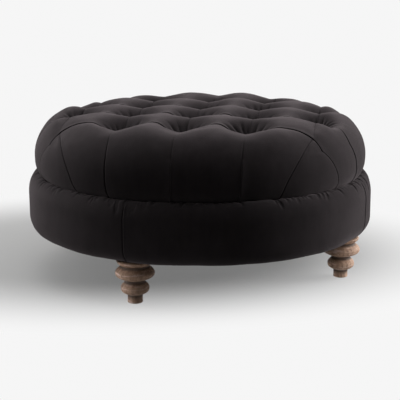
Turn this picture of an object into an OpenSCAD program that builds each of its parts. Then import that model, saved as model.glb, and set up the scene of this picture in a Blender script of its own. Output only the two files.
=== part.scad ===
// Round button-tufted pouf on four turned feet.
// A deep-buttoned cover is drawn over a foam dome on a plywood deck, and a
// padded band wraps the drum-shaped frame below it.

/* [Seat] */
// Greatest width of the tufted seat
seat_d = 960; // [880:5:1060]
// Height of the seat from the deck to its highest puff
seat_rise = 192; // [175:1:225]
// Radius of the rounded shoulder between the seat's top and side
shoulder_r = 120; // [105:1:128]
// How much higher the middle of the seat is than the start of the shoulder
crown_rise = 7; // [0:1:14]
// How far the seat's side draws in between its widest line and the crease
tuck_in = 28; // [22:1:34]

/* [Tufting] */
// Distance from the outermost buttons to the seat's widest line
button_margin = 125.4; // [122:0.2:140]
// Depth of a button below the puffs round it
button_depth = 55; // [45:1:62]
// Depth of a pleat halfway between two buttons
pleat_depth = 7; // [4:0.5:10]
// Depth of the saddle between an outer button and the seat's side
saddle_depth = 14; // [10:1:17]
// Depth of the point on the shoulder where a pleat forks
fork_depth = 11; // [7:1:15]
// Depth of a pleat where it runs down the seat's side
side_depth = 5; // [3:0.5:7]
// Diameter of a covered button
button_d = 26; // [20:1:32]
// Height of a covered button
button_t = 9; // [6:0.5:12]

/* [Foam] */
// Least thickness of cover and wadding over the foam
wadding_t = 20; // [16:1:22]
// Cover and wadding pressed together under a button
pressed_t = 7; // [5:0.5:9]
// Radius of the floor of a button well in the foam
well_floor_r = 16; // [15:0.5:20]
// Radius of a button well where it meets the foam's top
well_mouth_r = 80; // [76:1:84]

/* [Band] */
// How far the band swells out from the crease
band_swell = 48; // [44:1:60]
// How far the band's top edge stands above the deck
band_lift = 17; // [12:1:20]
// Radial distance from the band's crest to its greatest width
band_shoulder = 30; // [24:1:33]
// Height of the band's rounded upper edge
band_top_round = 55; // [45:1:65]
// Height of the band's rounded lower edge
band_low_round = 46; // [38:1:54]
// How far the band's cloth is turned under the base
turn_under = 46; // [30:1:60]

/* [Frame] */
// Thickness of the plywood deck
deck_t = 15; // [12:1:20]
// Thickness of the plywood base ring
base_t = 18; // [15:1:24]
// Radial width of the base ring
base_w = 100; // [90:1:120]
// How far the base ring stands out past the side panel
base_lip = 20; // [17:1:24]
// Height of the posts between base ring and deck
post_h = 116; // [100:1:130]
// Radial depth of a post
post_t = 30; // [26:1:36]
// Width of a post round the frame
post_w = 50; // [42:1:58]
// Thickness of the hardboard side panel
panel_t = 3; // [2:0.5:5]
// Height of the bearers under the deck
bearer_h = 60; // [45:1:70]
// Thickness of the bearers under the deck
bearer_t = 40; // [30:1:46]
// Width of a leg block round the frame
block_w = 76; // [64:1:84]
// Radial depth of a leg block
block_t = 50; // [44:1:60]
// Height of a leg block
block_h = 40; // [34:1:48]

/* [Feet] */
// Height of a foot with its glide
foot_h = 118; // [100:1:140]
// Distance from the rim of the base ring to a foot's centre
foot_inset = 32; // [28:1:38]
// Angle of the first foot from the button rows
foot_turn = -14; // [-20:1:-8]
// Radius of the peg that stands on the floor
peg_r = 20; // [17:0.5:24]
// Radius of the lower bead
bead_r = 37.5; // [33:0.5:42]
// Radius of the neck between bead and bun
neck_r = 28; // [24:0.5:31]
// Radius of the bun
bun_r = 52; // [46:0.5:58]
// Step cut in the bun above its widest line
bun_step = 1.4; // [0.8:0.1:2.4]
// Radius of the groove between bun and collar
groove_r = 38; // [34:0.5:42]
// Radius of the collar
collar_r = 49; // [44:0.5:54]
// Radius of the foot's top face
foot_top_r = 44; // [40:0.5:48]

/* [Fittings] */
// Diameter of the hanger bolts
bolt_d = 8; // [6:0.5:10]
// How far a hanger bolt is screwed into its foot
bolt_in_foot = 42; // [30:1:55]
// How far a hanger bolt stands above its leg block
bolt_proud = 5; // [3:0.5:8]
// Radius of a tee nut's flange
nut_flange_r = 9.5; // [8.5:0.5:11]
// Thickness of a tee nut's flange
nut_flange_t = 1.5; // [1:0.1:2]
// Length of a tee nut's barrel
nut_barrel_h = 11; // [8:0.5:14]
// Wall of a tee nut's barrel
nut_wall = 1.4; // [1:0.1:2]
// Radius of a foot's glide
glide_r = 15; // [12:0.5:17]
// Thickness of a glide
glide_t = 4; // [3:0.5:5]
// How far a glide stands out of its foot
glide_proud = 1.5; // [1:0.25:2.5]
// Diameter of a glide's nail
nail_d = 2.6; // [2:0.1:3.2]
// Length of a glide's nail above the glide
nail_l = 16; // [12:1:20]
// Diameter of the button twine
twine_d = 2; // [1.5:0.1:3]
// Radius of the washer that anchors the twine below the deck
washer_r = 12; // [10:0.5:15]
// Thickness of an anchor washer
washer_t = 3; // [2:0.5:4]
// Radius of the knot under an anchor washer
knot_r = 3; // [2:0.25:4]
// Diameter of a frame screw's shank
screw_d = 4; // [3:0.5:5]
// Radius of a frame screw's head
screw_head_r = 4.2; // [3.6:0.2:5]
// Depth of a frame screw's countersunk head
screw_head_h = 3; // [2:0.5:4]
// Length of a frame screw
screw_l = 45; // [35:1:60]

/* [Cloth] */
// Thickness of the band's cloth
cloth_t = 2; // [1:0.25:3]
// Thickness of cover and wadding where they are fixed to the deck
tail_t = 4; // [3:0.5:5]
// How far the cover's fixed edge lies inside the crease
tail_step = 2.2; // [2:0.1:3]
// Height of the seat cover's edge below the deck's top
tail_h = 22; // [18:1:30]
// Thickness of the dust cover
dust_t = 1; // [0.5:0.25:1.5]
// How far the dust cover's edge lies inside the base ring's rim
dust_margin = 18; // [12:1:26]
// Thickness of the tacking strip in the crease
strip_t = 3; // [2:0.25:3.5]
// Height of the tacking strip
strip_h = 14; // [10:1:18]

/* [Hidden] */

$fn = 96;

// Clearance between pieces that fit round each other
fit = 0.2;
// Overrun of every cutting tool
over = 1;

// Heights, from the floor up
dust_z = foot_h;
cloth_z = dust_z + dust_t;
base_z = cloth_z + cloth_t;
post_z = base_z + base_t;
deck_z = post_z + post_h;
deck_top = deck_z + deck_t;
seat_top = deck_top + seat_rise;
shoulder_z = seat_top - crown_rise - shoulder_r;
tail_z = deck_top - tail_h;

// Radii, from the seat's widest line inwards and out again
seat_r = seat_d / 2;
flat_r = seat_r - shoulder_r;
crease_r = seat_r - tuck_in;
tail_r = crease_r - tail_step;
panel_r = tail_r - tail_t;
deck_r = panel_r - panel_t - fit;
base_r = panel_r + base_lip;
band_inner_r = tail_r + strip_t + 2 * fit;
band_r = crease_r + band_swell;
crest_r = band_r - band_shoulder;
crest_z = deck_top + band_lift;
foot_circle_r = base_r - foot_inset;

// Puffs lie between the nodes of a net of cols by rows cells. Inner nodes are
// the buttons, the four inner corners are the pleat forks, and the outermost
// nodes lie on a circle on the shoulder, called the rim.
cols = 6;
rows = 5;
// Distance between neighbouring buttons: the outermost are two columns and
// half a row from the seat's middle
button_pitch = (seat_r - button_margin) / norm([2, 1 / 2]);
fine_shares = [0, 0.14, 0.38, 0.62, 0.86, 1];
n = len(fine_shares) - 1;
// Angle of the rim above the shoulder's centre
rim_rise = 28;
rim_r = flat_r + shoulder_r * cos(rim_rise);
// Direction of a fork from the button rows, and its angle above the shoulder's centre
fork_turn = 38.6;
fork_rise = 47.5;
// Directions of the rim's nodes and of the same pleats at the crease, in the
// first quarter. The middle one of the five isn't a pleat.
rim_quarter = [20.5, 38, 42.3, 46.7, 68];
crease_quarter = [17, 30, 42.5, 55.3, 68.8];
pleat_quarter = [1, 1, 0, 1, 1];
// How round a puff's section is, and how round the arch of a pleat
puff_power = 0.7;
arch_power = 1.5;
// How late a pleat leaves its saddle's depth for its depth on the side
saddle_power = 3;
// How quickly the side draws in below its widest line
tuck_power = 1.4;
// Side rings: angle on the shoulder's arc, then shares of the way to the crease
side_rise = 14;
side_shares = [0, 0.5, 1];
// What is left of a pleat's depth at each side ring
side_fade_shares = [0.85, 0.65, 0.45, 0.15];
// How far each ring has turned from the rim's direction to the crease's
side_turn_shares = [0.4, 0.71, 0.93, 1];

// Posts stand where a bearer ends and midway between the leg blocks
bearer_offset = button_pitch / 2;
post_turns = [0, 38, 135, 180, 218, 315];
// Two screws hold each end of a post, this share of its width apart
screw_gap_share = 0.5;
// Heights of the foot's turnings, as shares of its own height
peg_top_share = 0.175;
bead_low_share = 0.19;
bead_share = 0.315;
neck_share = 0.485;
bun_low_share = 0.51;
bun_share = 0.68;
groove_share = 0.865;
collar_low_share = 0.88;
collar_share = 0.975;
// Radii where a turning starts, between the groove beside it and its greatest radius
bead_start_share = 0.3;
bun_start_share = 0.15;
collar_start_share = 0.25;
// How far down the tacking strip the band's edge has turned upright
fall_share = 0.7;
// Points along each quarter turn of a section
turn_steps = 10;
// Slit where the two ends of the side panel meet, and its direction
panel_slit = 1;
panel_slit_turn = 240;

// ---- the net of puffs ----

function turned(q) = concat(
    q, [90], [for (k = [4:-1:0]) 180 - q[k]],
    [for (a = q) 180 + a], [270], [for (k = [4:-1:0]) 360 - q[k]]);
function mirrored(q) = concat(q, [1], [for (k = [4:-1:0]) q[k]], q, [1], [for (k = [4:-1:0]) q[k]]);
rim_turns = turned(rim_quarter);
crease_turns = turned(crease_quarter);
rim_pleats = mirrored(pleat_quarter);
rim_nodes = len(rim_turns);

// Number of a rim node counted round the rim from the first one above +X
function rim_index(i, j) =
    i == cols ? (j >= 3 ? j - 3 : 19 + j) : j == rows ? 8 - i : i == 0 ? 13 - j : 13 + i;
function is_rim(i, j) = i == 0 || i == cols || j == 0 || j == rows;
function is_fork(i, j) = (i == 1 || i == cols - 1) && (j == 1 || j == rows - 1);
function polar(r, turn) = [r * cos(turn), r * sin(turn)];
function fork_xy(i, j) =
    (flat_r + shoulder_r * cos(fork_rise))
    * [sign(i - cols / 2) * cos(fork_turn), sign(j - rows / 2) * sin(fork_turn)];
function node_xy(i, j) = is_rim(i, j)
    ? polar(rim_r, rim_turns[rim_index(i, j)])
    : is_fork(i, j) ? fork_xy(i, j) : button_pitch * [i - cols / 2, j - rows / 2];
function node_drop(i, j) = is_rim(i, j)
    ? side_depth * rim_pleats[rim_index(i, j)]
    : is_fork(i, j) ? fork_depth : button_depth;

function mix(a, b, t) = a + (b - a) * t;
// The turn b, brought within half a turn of a
function near_turn(a, b) = b - a > 180 ? b - 360 : b - a < -180 ? b + 360 : b;

// A point of the edge between two neighbouring nodes, seen from above
function edge_xy(i0, j0, i1, j1, t) =
    is_rim(i0, j0) && is_rim(i1, j1)
    ? let (a = rim_turns[rim_index(i0, j0)], b = near_turn(a, rim_turns[rim_index(i1, j1)]))
      polar(rim_r, mix(a, b, t))
    : mix(node_xy(i0, j0), node_xy(i1, j1), t);

// How near a place in a cell is to its pleats: 1 on a pleat, 0 in the middle
function nearness(t) = 1 - pow(sin(180 * t), puff_power);
function half_nearness(t) = t < 0.5 ? nearness(t) : 0;
function arch(t) = t < 0.5 ? 1 - pow(sin(180 * t), arch_power) : 0;

// How far a pleat lies below the puffs, along the edge between two nodes
function edge_drop(i0, j0, i1, j1, t) =
    let (a = node_drop(i0, j0), b = node_drop(i1, j1))
    is_rim(i0, j0) && is_rim(i1, j1)
    ? a * half_nearness(t) + b * half_nearness(1 - t)
    : is_rim(i0, j0) ? edge_drop(i1, j1, i0, j0, 1 - t)
    : is_rim(i1, j1) && is_fork(i0, j0) ? mix(a, b, t)
    : let (span = norm(node_xy(i0, j0) - node_xy(i1, j1)) / button_pitch)
      is_rim(i1, j1)
      ? let (saddle = mix(saddle_depth, b, pow(t, saddle_power)))
        saddle + (a - saddle) * arch(t * span)
      : pleat_depth + (a - pleat_depth) * arch(t * span) + (b - pleat_depth) * arch((1 - t) * span);

// The cell's four edges blended over it, for places and for depths
function cell_xy(i, j, s, t) =
    mix(edge_xy(i, j, i + 1, j, s), edge_xy(i, j + 1, i + 1, j + 1, s), t)
    + mix(edge_xy(i, j, i, j + 1, t), edge_xy(i + 1, j, i + 1, j + 1, t), s)
    - mix(mix(node_xy(i, j), node_xy(i + 1, j), s), mix(node_xy(i, j + 1), node_xy(i + 1, j + 1), s), t);
function cell_drop(i, j, s, t) =
    let (along = t < 0.5 ? edge_drop(i, j, i + 1, j, s) : edge_drop(i, j + 1, i + 1, j + 1, s),
         across = s < 0.5 ? edge_drop(i, j, i, j + 1, t) : edge_drop(i + 1, j, i + 1, j + 1, t),
         corner = node_drop(s < 0.5 ? i : i + 1, t < 0.5 ? j : j + 1))
    nearness(s) * across + nearness(t) * along - nearness(s) * nearness(t) * corner;

// A point of the seat over a place on the plan, a given depth under the puffs
function crown_z(r) = seat_top - crown_rise * pow(r / flat_r, 2);
function arc_point(rise, drop) = [
    flat_r + (shoulder_r - drop) * cos(rise), shoulder_z + (shoulder_r - drop) * sin(rise)];
function raised(turn, rz) = [rz[0] * cos(turn), rz[0] * sin(turn), rz[1]];
function seat_point(xy, drop) =
    let (r = norm(xy))
    r <= flat_r
    ? [xy[0], xy[1], crown_z(r) - drop]
    : raised(atan2(xy[1], xy[0]), arc_point(acos(min(1, (r - flat_r) / shoulder_r)), drop));

function net_point(u, v) =
    let (i = min(floor(u / n), cols - 1), j = min(floor(v / n), rows - 1),
         s = fine_shares[u - i * n], t = fine_shares[v - j * n])
    seat_point(cell_xy(i, j, s, t), cell_drop(i, j, s, t));

// The seat's side below the rim, a share of the way from its widest line to the crease
function side_section(share) = [
    seat_r - tuck_in * pow(share, tuck_power), mix(shoulder_z, deck_top, share)];

// Rim point number m: its node, its place between two nodes, its turn and its depth
function rim_share(m) = fine_shares[m % n];
function rim_turn(list, m) =
    let (k = floor(m / n), a = list[k], b = near_turn(a, list[(k + 1) % rim_nodes]))
    mix(a, b, rim_share(m));
function rim_drop(m) =
    let (k = floor(m / n))
    side_depth * (rim_pleats[k] * half_nearness(rim_share(m))
        + rim_pleats[(k + 1) % rim_nodes] * half_nearness(1 - rim_share(m)));
rim_points = rim_nodes * n;

function side_point(ring, m) =
    let (turn = mix(rim_turn(rim_turns, m), rim_turn(crease_turns, m), side_turn_shares[ring]),
         drop = rim_drop(m) * side_fade_shares[ring],
         rz = ring == 0 ? arc_point(side_rise, 0) : side_section(side_shares[ring - 1]))
    raised(turn, [rz[0] - drop, rz[1]]);

net_w = cols * n + 1;
net_h = rows * n + 1;
rings = len(side_turn_shares);
// Number in the net of rim point m
function net_index(u, v) = v * net_w + u;
function rim_in_net(m) =
    m <= 2 * n ? net_index(cols * n, 3 * n + m)
    : m <= 8 * n ? net_index(8 * n - m, rows * n)
    : m <= 13 * n ? net_index(0, 13 * n - m)
    : m <= 19 * n ? net_index(m - 13 * n, 0)
    : net_index(cols * n, m - 19 * n);
// Number of point m on ring q: ring 0 is the rim itself, then come the side rings
function ring_index(q, m) =
    q == 0 ? rim_in_net(m % rim_points) : net_w * net_h + (q - 1) * rim_points + m % rim_points;
centre_index = net_w * net_h + rings * rim_points;

seat_points = concat(
    [for (v = [0:net_h - 1]) for (u = [0:net_w - 1]) net_point(u, v)],
    [for (q = [0:rings - 1]) for (m = [0:rim_points - 1]) side_point(q, m)],
    [[0, 0, deck_top]]);

// Each cell's quads are split along the diagonal that points to the cell's middle
function rising(u, v) = ((u % n) < n / 2) == ((v % n) < n / 2);
seat_faces = concat(
    [for (v = [0:net_h - 2]) for (u = [0:net_w - 2])
        let (a = net_index(u, v), b = a + 1, c = a + net_w, d = c + 1)
        each (rising(u, v) ? [[a, d, b], [a, c, d]] : [[a, c, b], [b, c, d]])],
    [for (q = [0:rings - 1]) for (m = [0:rim_points - 1])
        let (a = ring_index(q, m), b = ring_index(q, m + 1),
             c = ring_index(q + 1, m), d = ring_index(q + 1, m + 1))
        each [[a, b, d], [a, d, c]]],
    [for (m = [0:rim_points - 1]) [ring_index(rings, m), ring_index(rings, m + 1), centre_index]]);

// Every button's place on the plan
buttons = [for (j = [1:rows - 1]) for (i = [1:cols - 1]) if (!is_fork(i, j)) node_xy(i, j)];
module at_buttons() {
    for (xy = buttons)
        translate([xy[0], xy[1], crown_z(norm(xy))]) children();
}

// ---- seat ----

module seat_skin() {
    polyhedron(points = seat_points, faces = seat_faces);
}

// Section of the foam dome, drawn in from the cover by the wadding
function dome_section() =
    let (r = shoulder_r - wadding_t)
    concat(
        [[0, deck_top], [0, seat_top - wadding_t], [flat_r / 2, crown_z(flat_r / 2) - wadding_t]],
        [for (k = [0:turn_steps]) let (a = 90 - 90 * k / turn_steps)
            [flat_r + r * cos(a), shoulder_z + r * sin(a)]],
        [[deck_r, deck_top]]);

module foam_dome() {
    rotate_extrude() polygon(dome_section());
}

// A button's well: a flat floor and a funnel that opens through the foam's top
module button_well() {
    floor_z = -button_depth - pressed_t;
    rotate_extrude() polygon([
        [0, floor_z], [well_floor_r, floor_z], [well_mouth_r, -wadding_t],
        [well_mouth_r, over], [0, over]]);
}

module foam_solid() {
    difference() {
        foam_dome();
        at_buttons() button_well();
    }
}

module twine_hole(r) {
    for (xy = buttons)
        translate([xy[0], xy[1], deck_z - over])
            cylinder(h = seat_top - deck_z, r = r);
}

module seat_cover() {
    color("#262325")
    difference() {
        union() {
            seat_skin();
            translate([0, 0, tail_z]) cylinder(h = tail_h + tail_t, r = tail_r);
        }
        foam_solid();
        translate([0, 0, tail_z - over]) cylinder(h = tail_h + over, r = panel_r);
        at_buttons() translate([0, 0, -button_depth]) cylinder(h = button_depth, d = button_d + 2 * fit);
        twine_hole(twine_d / 2 + fit);
    }
}

module seat_foam() {
    color("#e8dca8")
    difference() {
        foam_solid();
        twine_hole(twine_d + fit);
    }
}

// A covered button: a low dome on a short straight edge
module tuft_button() {
    edge_h = button_t / 4;
    rotate_extrude() polygon(concat(
        [[0, 0], [button_d / 2, 0]],
        [for (k = [0:turn_steps]) let (a = 90 * k / turn_steps)
            [button_d / 2 * cos(a), edge_h + (button_t - edge_h) * sin(a)]]));
}

module tuft_buttons() {
    color("#2b282a") at_buttons() translate([0, 0, -button_depth]) tuft_button();
}

module button_twine() {
    washer_z = deck_z - washer_t;
    color("#d8d0bc")
    for (xy = buttons) {
        top = crown_z(norm(xy)) - button_depth;
        translate([xy[0], xy[1], washer_z - knot_r]) {
            cylinder(h = top - washer_z + knot_r, d = twine_d);
            sphere(r = knot_r);
        }
    }
}

module anchor_washers() {
    color("#8d7a5c")
    for (xy = buttons)
        translate([xy[0], xy[1], deck_z - washer_t])
            difference() {
                cylinder(h = washer_t, r = washer_r);
                translate([0, 0, -over]) cylinder(h = washer_t + 2 * over, d = twine_d + 2 * fit);
            }
}

// ---- frame ----

// Every post's place: those that stand square to the frame's radius, then the
// two that stand square to the side bearers
side_post_y = sqrt(pow(deck_r - fit, 2) - pow(bearer_offset + post_w / 2, 2)) - post_t;
module at_posts() {
    for (turn = post_turns)
        rotate(turn) translate([deck_r - post_t - 2 * fit - post_bulge, 0, 0]) children();
    for (turn = [0, 180])
        rotate(turn) translate([-bearer_offset, side_post_y, 0]) rotate(90) children();
}
// What a flat-faced post loses against the round panel at its corners
post_bulge = deck_r - sqrt(pow(deck_r, 2) - pow(post_w / 2, 2));
bearer_end_r = deck_r - post_t - 2 * fit - post_bulge;

module at_post_screws() {
    at_posts()
        for (side = [-1, 1])
            translate([post_t / 2, side * post_w * screw_gap_share / 2, 0]) children();
}

// A countersunk screw, head up, with its head's face at the origin
module frame_screw(slack) {
    rotate([180, 0, 0]) {
        cylinder(h = screw_l + slack, d = screw_d + 2 * slack);
        cylinder(h = screw_head_h, r1 = screw_head_r + slack, r2 = screw_d / 2 + slack);
    }
}

module deck_screws() {
    color("#b9b6ab") at_post_screws() translate([0, 0, deck_top]) frame_screw(0);
}

module base_screws() {
    color("#b9b6ab") at_post_screws() translate([0, 0, base_z]) mirror([0, 0, 1]) frame_screw(0);
}

module screw_bores() {
    at_post_screws() {
        translate([0, 0, deck_top]) frame_screw(fit);
        translate([0, 0, base_z]) mirror([0, 0, 1]) frame_screw(fit);
    }
}

module seat_deck() {
    color("#c9a974")
    difference() {
        translate([0, 0, deck_z]) cylinder(h = deck_t, r = deck_r);
        twine_hole(twine_d + fit);
        screw_bores();
    }
}

module frame_posts() {
    color("#c8a878")
    difference() {
        at_posts() translate([0, -post_w / 2, post_z]) cube([post_t, post_w, post_h]);
        screw_bores();
    }
}

module main_bearer() {
    color("#c2a06c")
    translate([-bearer_end_r, -bearer_t / 2, deck_z - bearer_h])
        cube([2 * bearer_end_r, bearer_t, bearer_h]);
}

// A side bearer runs from the main bearer's face to its post
module side_bearer() {
    color("#c2a06c")
    translate([-bearer_offset - bearer_t / 2, bearer_t / 2, deck_z - bearer_h])
        cube([bearer_t, side_post_y - bearer_t / 2, bearer_h]);
}

module side_panel() {
    color("#8a6a4a")
    difference() {
        translate([0, 0, post_z]) cylinder(h = deck_top - post_z, r = panel_r);
        translate([0, 0, post_z - over]) cylinder(h = deck_top - post_z + 2 * over, r = panel_r - panel_t);
        rotate(panel_slit_turn)
            translate([panel_r - panel_t - over, -panel_slit / 2, post_z - over])
                cube([panel_t + 2 * over, panel_slit, deck_top - post_z + 2 * over]);
    }
}

module at_feet() {
    for (k = [0:3]) rotate(foot_turn + 90 * k) translate([foot_circle_r, 0, 0]) children();
}

// The feet's bolt holes through a layer that starts at z and is h thick
module bolt_bores(z, h) {
    at_feet() translate([0, 0, z - over]) cylinder(h = h + 2 * over, d = bolt_d + 2 * fit);
}

module base_ring() {
    color("#c9a974")
    difference() {
        translate([0, 0, base_z]) cylinder(h = base_t, r = base_r);
        translate([0, 0, base_z - over]) cylinder(h = base_t + 2 * over, r = base_r - base_w);
        bolt_bores(base_z, base_t);
        screw_bores();
    }
}

// A leg block lies on the base ring round its bolt, against the side panel
block_outer_r = sqrt(pow(deck_r, 2) - pow(block_w / 2, 2)) - fit;
module leg_blocks() {
    nut_r = bolt_d / 2 + nut_wall + 2 * fit;
    color("#bf9d68")
    for (k = [0:3]) rotate(foot_turn + 90 * k)
        difference() {
            translate([block_outer_r - block_t, -block_w / 2, post_z]) cube([block_t, block_w, block_h]);
            translate([foot_circle_r, 0, post_z - over]) {
                cylinder(h = block_h + 2 * over, d = bolt_d + 2 * fit);
                translate([0, 0, block_h - nut_barrel_h - fit]) cylinder(h = block_h, r = nut_r);
            }
        }
}

module tee_nuts() {
    color("#a8a9ab")
    at_feet() translate([0, 0, post_z + block_h])
        difference() {
            union() {
                cylinder(h = nut_flange_t, r = nut_flange_r);
                translate([0, 0, -nut_barrel_h])
                    cylinder(h = nut_barrel_h + nut_flange_t, r = bolt_d / 2 + nut_wall + fit);
            }
            translate([0, 0, -nut_barrel_h - over])
                cylinder(h = nut_barrel_h + nut_flange_t + 2 * over, d = bolt_d + 2 * fit);
        }
}

module hanger_bolts() {
    low = foot_h - bolt_in_foot;
    color("#9fa1a4")
    at_feet() translate([0, 0, low])
        cylinder(h = post_z + block_h + nut_flange_t + bolt_proud - low, d = bolt_d);
}

// ---- band ----

// Section of the band from its foot, out round its swell and over the crest
// into the crease, drawn in by an inset
function quarter(centre, a, b, from, to) = [
    for (k = [0:turn_steps]) let (t = mix(from, to, k / turn_steps))
        [centre[0] + a * cos(t), centre[1] + b * sin(t)]];
function band_curve(inset) =
    let (low = quarter([base_r, cloth_z + band_low_round], band_r - base_r - inset, band_low_round - inset, -90, 0),
         top = quarter([crest_r, crest_z - band_top_round], band_shoulder - inset, band_top_round - inset, 0, 90),
         fall = band_lift + strip_h * fall_share,
         into = quarter([crest_r, crest_z - fall], crest_r - band_inner_r - inset, fall - inset, 90, 180))
    concat(low, top, [for (k = [1:turn_steps]) into[k]]);
edge_z = deck_top - strip_h;

module band_padding() {
    wall_r = band_inner_r + cloth_t + fit;
    color("#ece6d6")
    rotate_extrude() polygon(concat(
        [[tail_r + fit, edge_z - fit], [tail_r + fit, post_z + fit], [base_r + fit, post_z + fit],
         [base_r + fit, cloth_z + cloth_t + fit]],
        band_curve(cloth_t + fit),
        [[wall_r, edge_z - fit]]));
}

module band_cover() {
    outer = band_curve(0);
    inner = band_curve(cloth_t);
    last = len(inner) - 1;
    color("#262325")
    difference() {
        rotate_extrude() polygon(concat(
            [[base_r - turn_under, cloth_z + cloth_t], [base_r - turn_under, cloth_z]],
            outer,
            [[band_inner_r, edge_z], [band_inner_r + cloth_t, edge_z]],
            [for (k = [last:-1:0]) inner[k]]));
        bolt_bores(cloth_z, cloth_t);
    }
}

module tack_strip() {
    color("#b08d5e")
    translate([0, 0, edge_z])
        difference() {
            cylinder(h = strip_h, r = tail_r + fit + strip_t);
            translate([0, 0, -over]) cylinder(h = strip_h + 2 * over, r = tail_r + fit);
        }
}

module dust_cover() {
    color("#1b1b1c")
    difference() {
        translate([0, 0, dust_z]) cylinder(h = dust_t, r = base_r - dust_margin);
        bolt_bores(dust_z, dust_t);
    }
}

// ---- feet ----

// A turning that swells from one radius at a height to its greatest and back,
// with a step cut in above its widest line
function swell(low, mid, high, step) = concat(
    quarter([low[0], mid[1]], mid[0] - low[0], mid[1] - low[1], -90, 0),
    [for (k = [step > 0 ? 0 : 1:turn_steps])
        quarter([high[0], mid[1] + step], mid[0] - step - high[0], high[1] - mid[1] - step, 0, 90)[k]]);

function foot_section() =
    let (h = foot_h,
         bead_start = mix(peg_r, bead_r, bead_start_share),
         bun_start = mix(neck_r, bun_r, bun_start_share),
         collar_start = mix(groove_r, collar_r, collar_start_share))
    concat(
        [[0, glide_proud], [peg_r - glide_proud, glide_proud], [peg_r, 2 * glide_proud], [peg_r, h * peg_top_share]],
        swell([bead_start, h * bead_low_share], [bead_r, h * bead_share], [neck_r, h * neck_share], 0),
        swell([bun_start, h * bun_low_share], [bun_r, h * bun_share], [groove_r, h * groove_share], bun_step),
        swell([collar_start, h * collar_low_share], [collar_r, h * collar_share], [foot_top_r, h], 0),
        [[0, h]]);

module foot(k) {
    color("#8e7860")
    rotate(foot_turn + 90 * k) translate([foot_circle_r, 0, 0])
        difference() {
            rotate_extrude() polygon(foot_section());
            translate([0, 0, foot_h - bolt_in_foot]) cylinder(h = bolt_in_foot + over, d = bolt_d + 2 * fit);
            translate([0, 0, -over]) cylinder(h = glide_t + over, r = glide_r + fit);
            cylinder(h = glide_t + nail_l + fit, d = nail_d + 2 * fit);
        }
}

module foot_glides() {
    color("#d9d9d6")
    at_feet() {
        cylinder(h = glide_t, r = glide_r);
        cylinder(h = glide_t + nail_l, d = nail_d);
    }
}

seat_cover();
seat_foam();
tuft_buttons();
button_twine();
anchor_washers();
seat_deck();
deck_screws();
main_bearer();
side_bearer();  // left_side_bearer
rotate(180) side_bearer();  // right_side_bearer
frame_posts();
side_panel();
base_ring();
base_screws();
leg_blocks();
tack_strip();
band_padding();
band_cover();
dust_cover();
foot(3);  // front_left_foot
foot(0);  // front_right_foot
foot(1);  // back_right_foot
foot(2);  // back_left_foot
hanger_bolts();
tee_nuts();
foot_glides();
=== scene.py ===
"""A round button-tufted pouf in charcoal velvet, on four turned oak feet."""
import math

import bmesh
import bpy
import numpy as np
from mathutils import Matrix, Vector


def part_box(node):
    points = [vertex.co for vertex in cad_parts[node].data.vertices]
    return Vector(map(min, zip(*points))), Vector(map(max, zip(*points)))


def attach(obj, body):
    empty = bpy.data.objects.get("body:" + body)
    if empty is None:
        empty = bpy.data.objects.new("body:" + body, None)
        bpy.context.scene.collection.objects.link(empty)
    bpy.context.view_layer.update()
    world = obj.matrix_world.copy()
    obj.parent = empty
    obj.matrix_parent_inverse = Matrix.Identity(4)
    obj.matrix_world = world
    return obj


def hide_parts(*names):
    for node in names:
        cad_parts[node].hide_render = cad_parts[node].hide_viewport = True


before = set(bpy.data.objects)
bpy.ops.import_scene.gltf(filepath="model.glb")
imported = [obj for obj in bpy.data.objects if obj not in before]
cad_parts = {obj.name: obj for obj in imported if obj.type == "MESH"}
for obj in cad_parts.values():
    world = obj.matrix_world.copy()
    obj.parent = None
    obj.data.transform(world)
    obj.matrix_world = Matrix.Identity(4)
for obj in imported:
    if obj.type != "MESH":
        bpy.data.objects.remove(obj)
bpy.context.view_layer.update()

# Sizes

MM = 0.001
BODY = "root"
DECK_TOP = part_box("seat_deck")[1].z
BASE_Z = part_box("band_cover")[0].z
FOOT_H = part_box("front_right_foot")[1].z
BUTTON_D = 26 * MM
PIT_R, PIT_BELOW = 20 * MM, 1.5 * MM
BUTTON_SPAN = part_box("tuft_buttons")[1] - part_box("tuft_buttons")[0]

# The seat: radii, heights and the shoulder's rounding, as the solids have them
SEAT_R = 480 * MM
SEAT_TOP = DECK_TOP + 192 * MM
SHOULDER_R = 120 * MM
CROWN_RISE = 7 * MM
FLAT_R = SEAT_R - SHOULDER_R
SHOULDER_Z = SEAT_TOP - CROWN_RISE - SHOULDER_R
TUCK_IN = 28 * MM
TUCK_POWER = 3.0
TAIL_R = SEAT_R - TUCK_IN - 2.2 * MM
TAIL_Z = DECK_TOP - 22 * MM

# The tufting: the net of buttons, forks and pleats, its directions in degrees; each power is a valley's
# form, sharp below 1 and round above
COLS, ROWS = 6, 5
RIM_NODES = 2 * (COLS + ROWS)
# The row of the first rim node above +X
FIRST_ROW = ROWS // 2 + 1
PITCH = BUTTON_SPAN.x - BUTTON_SPAN.y
BUTTON_DEPTH = 55 * MM
PLEAT_DEPTH = 7 * MM
FRONT_SADDLE, REAR_SADDLE = 16 * MM, 5 * MM
FORK_DEPTH = 5.5 * MM
FORK_TIP, FORK_TIP_REACH = 3.3 * MM, 55 * MM
FORK_TURN = 38.6
FORK_RISE = math.radians(47.5)
RIM_RISE = math.radians(28)
RIM_R = FLAT_R + SHOULDER_R * math.cos(RIM_RISE)
RIM_QUARTER = [20.5, 38, 42.3, 46.7, 68]
CREASE_QUARTER = [17, 30, 42.5, 55.3, 68.8]
PLEAT_QUARTER = [1, 1, 0, 1, 1]
PUFF_POWER = 0.8
PIT_POWER = 1.2
SIDE_POWER = 1.4
ARCH_POWER = 1.8
FULLNESS_POWER = 1.3
SIDE_FADE = 0.75
SIDE_DEPTH = 1.3 * MM
PUFF_RISE = 1.6 * MM
PUFF_UNEVEN = 1.3
REAR_RISE = 4.5 * MM
LEAST_SPAN = 0.5

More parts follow.
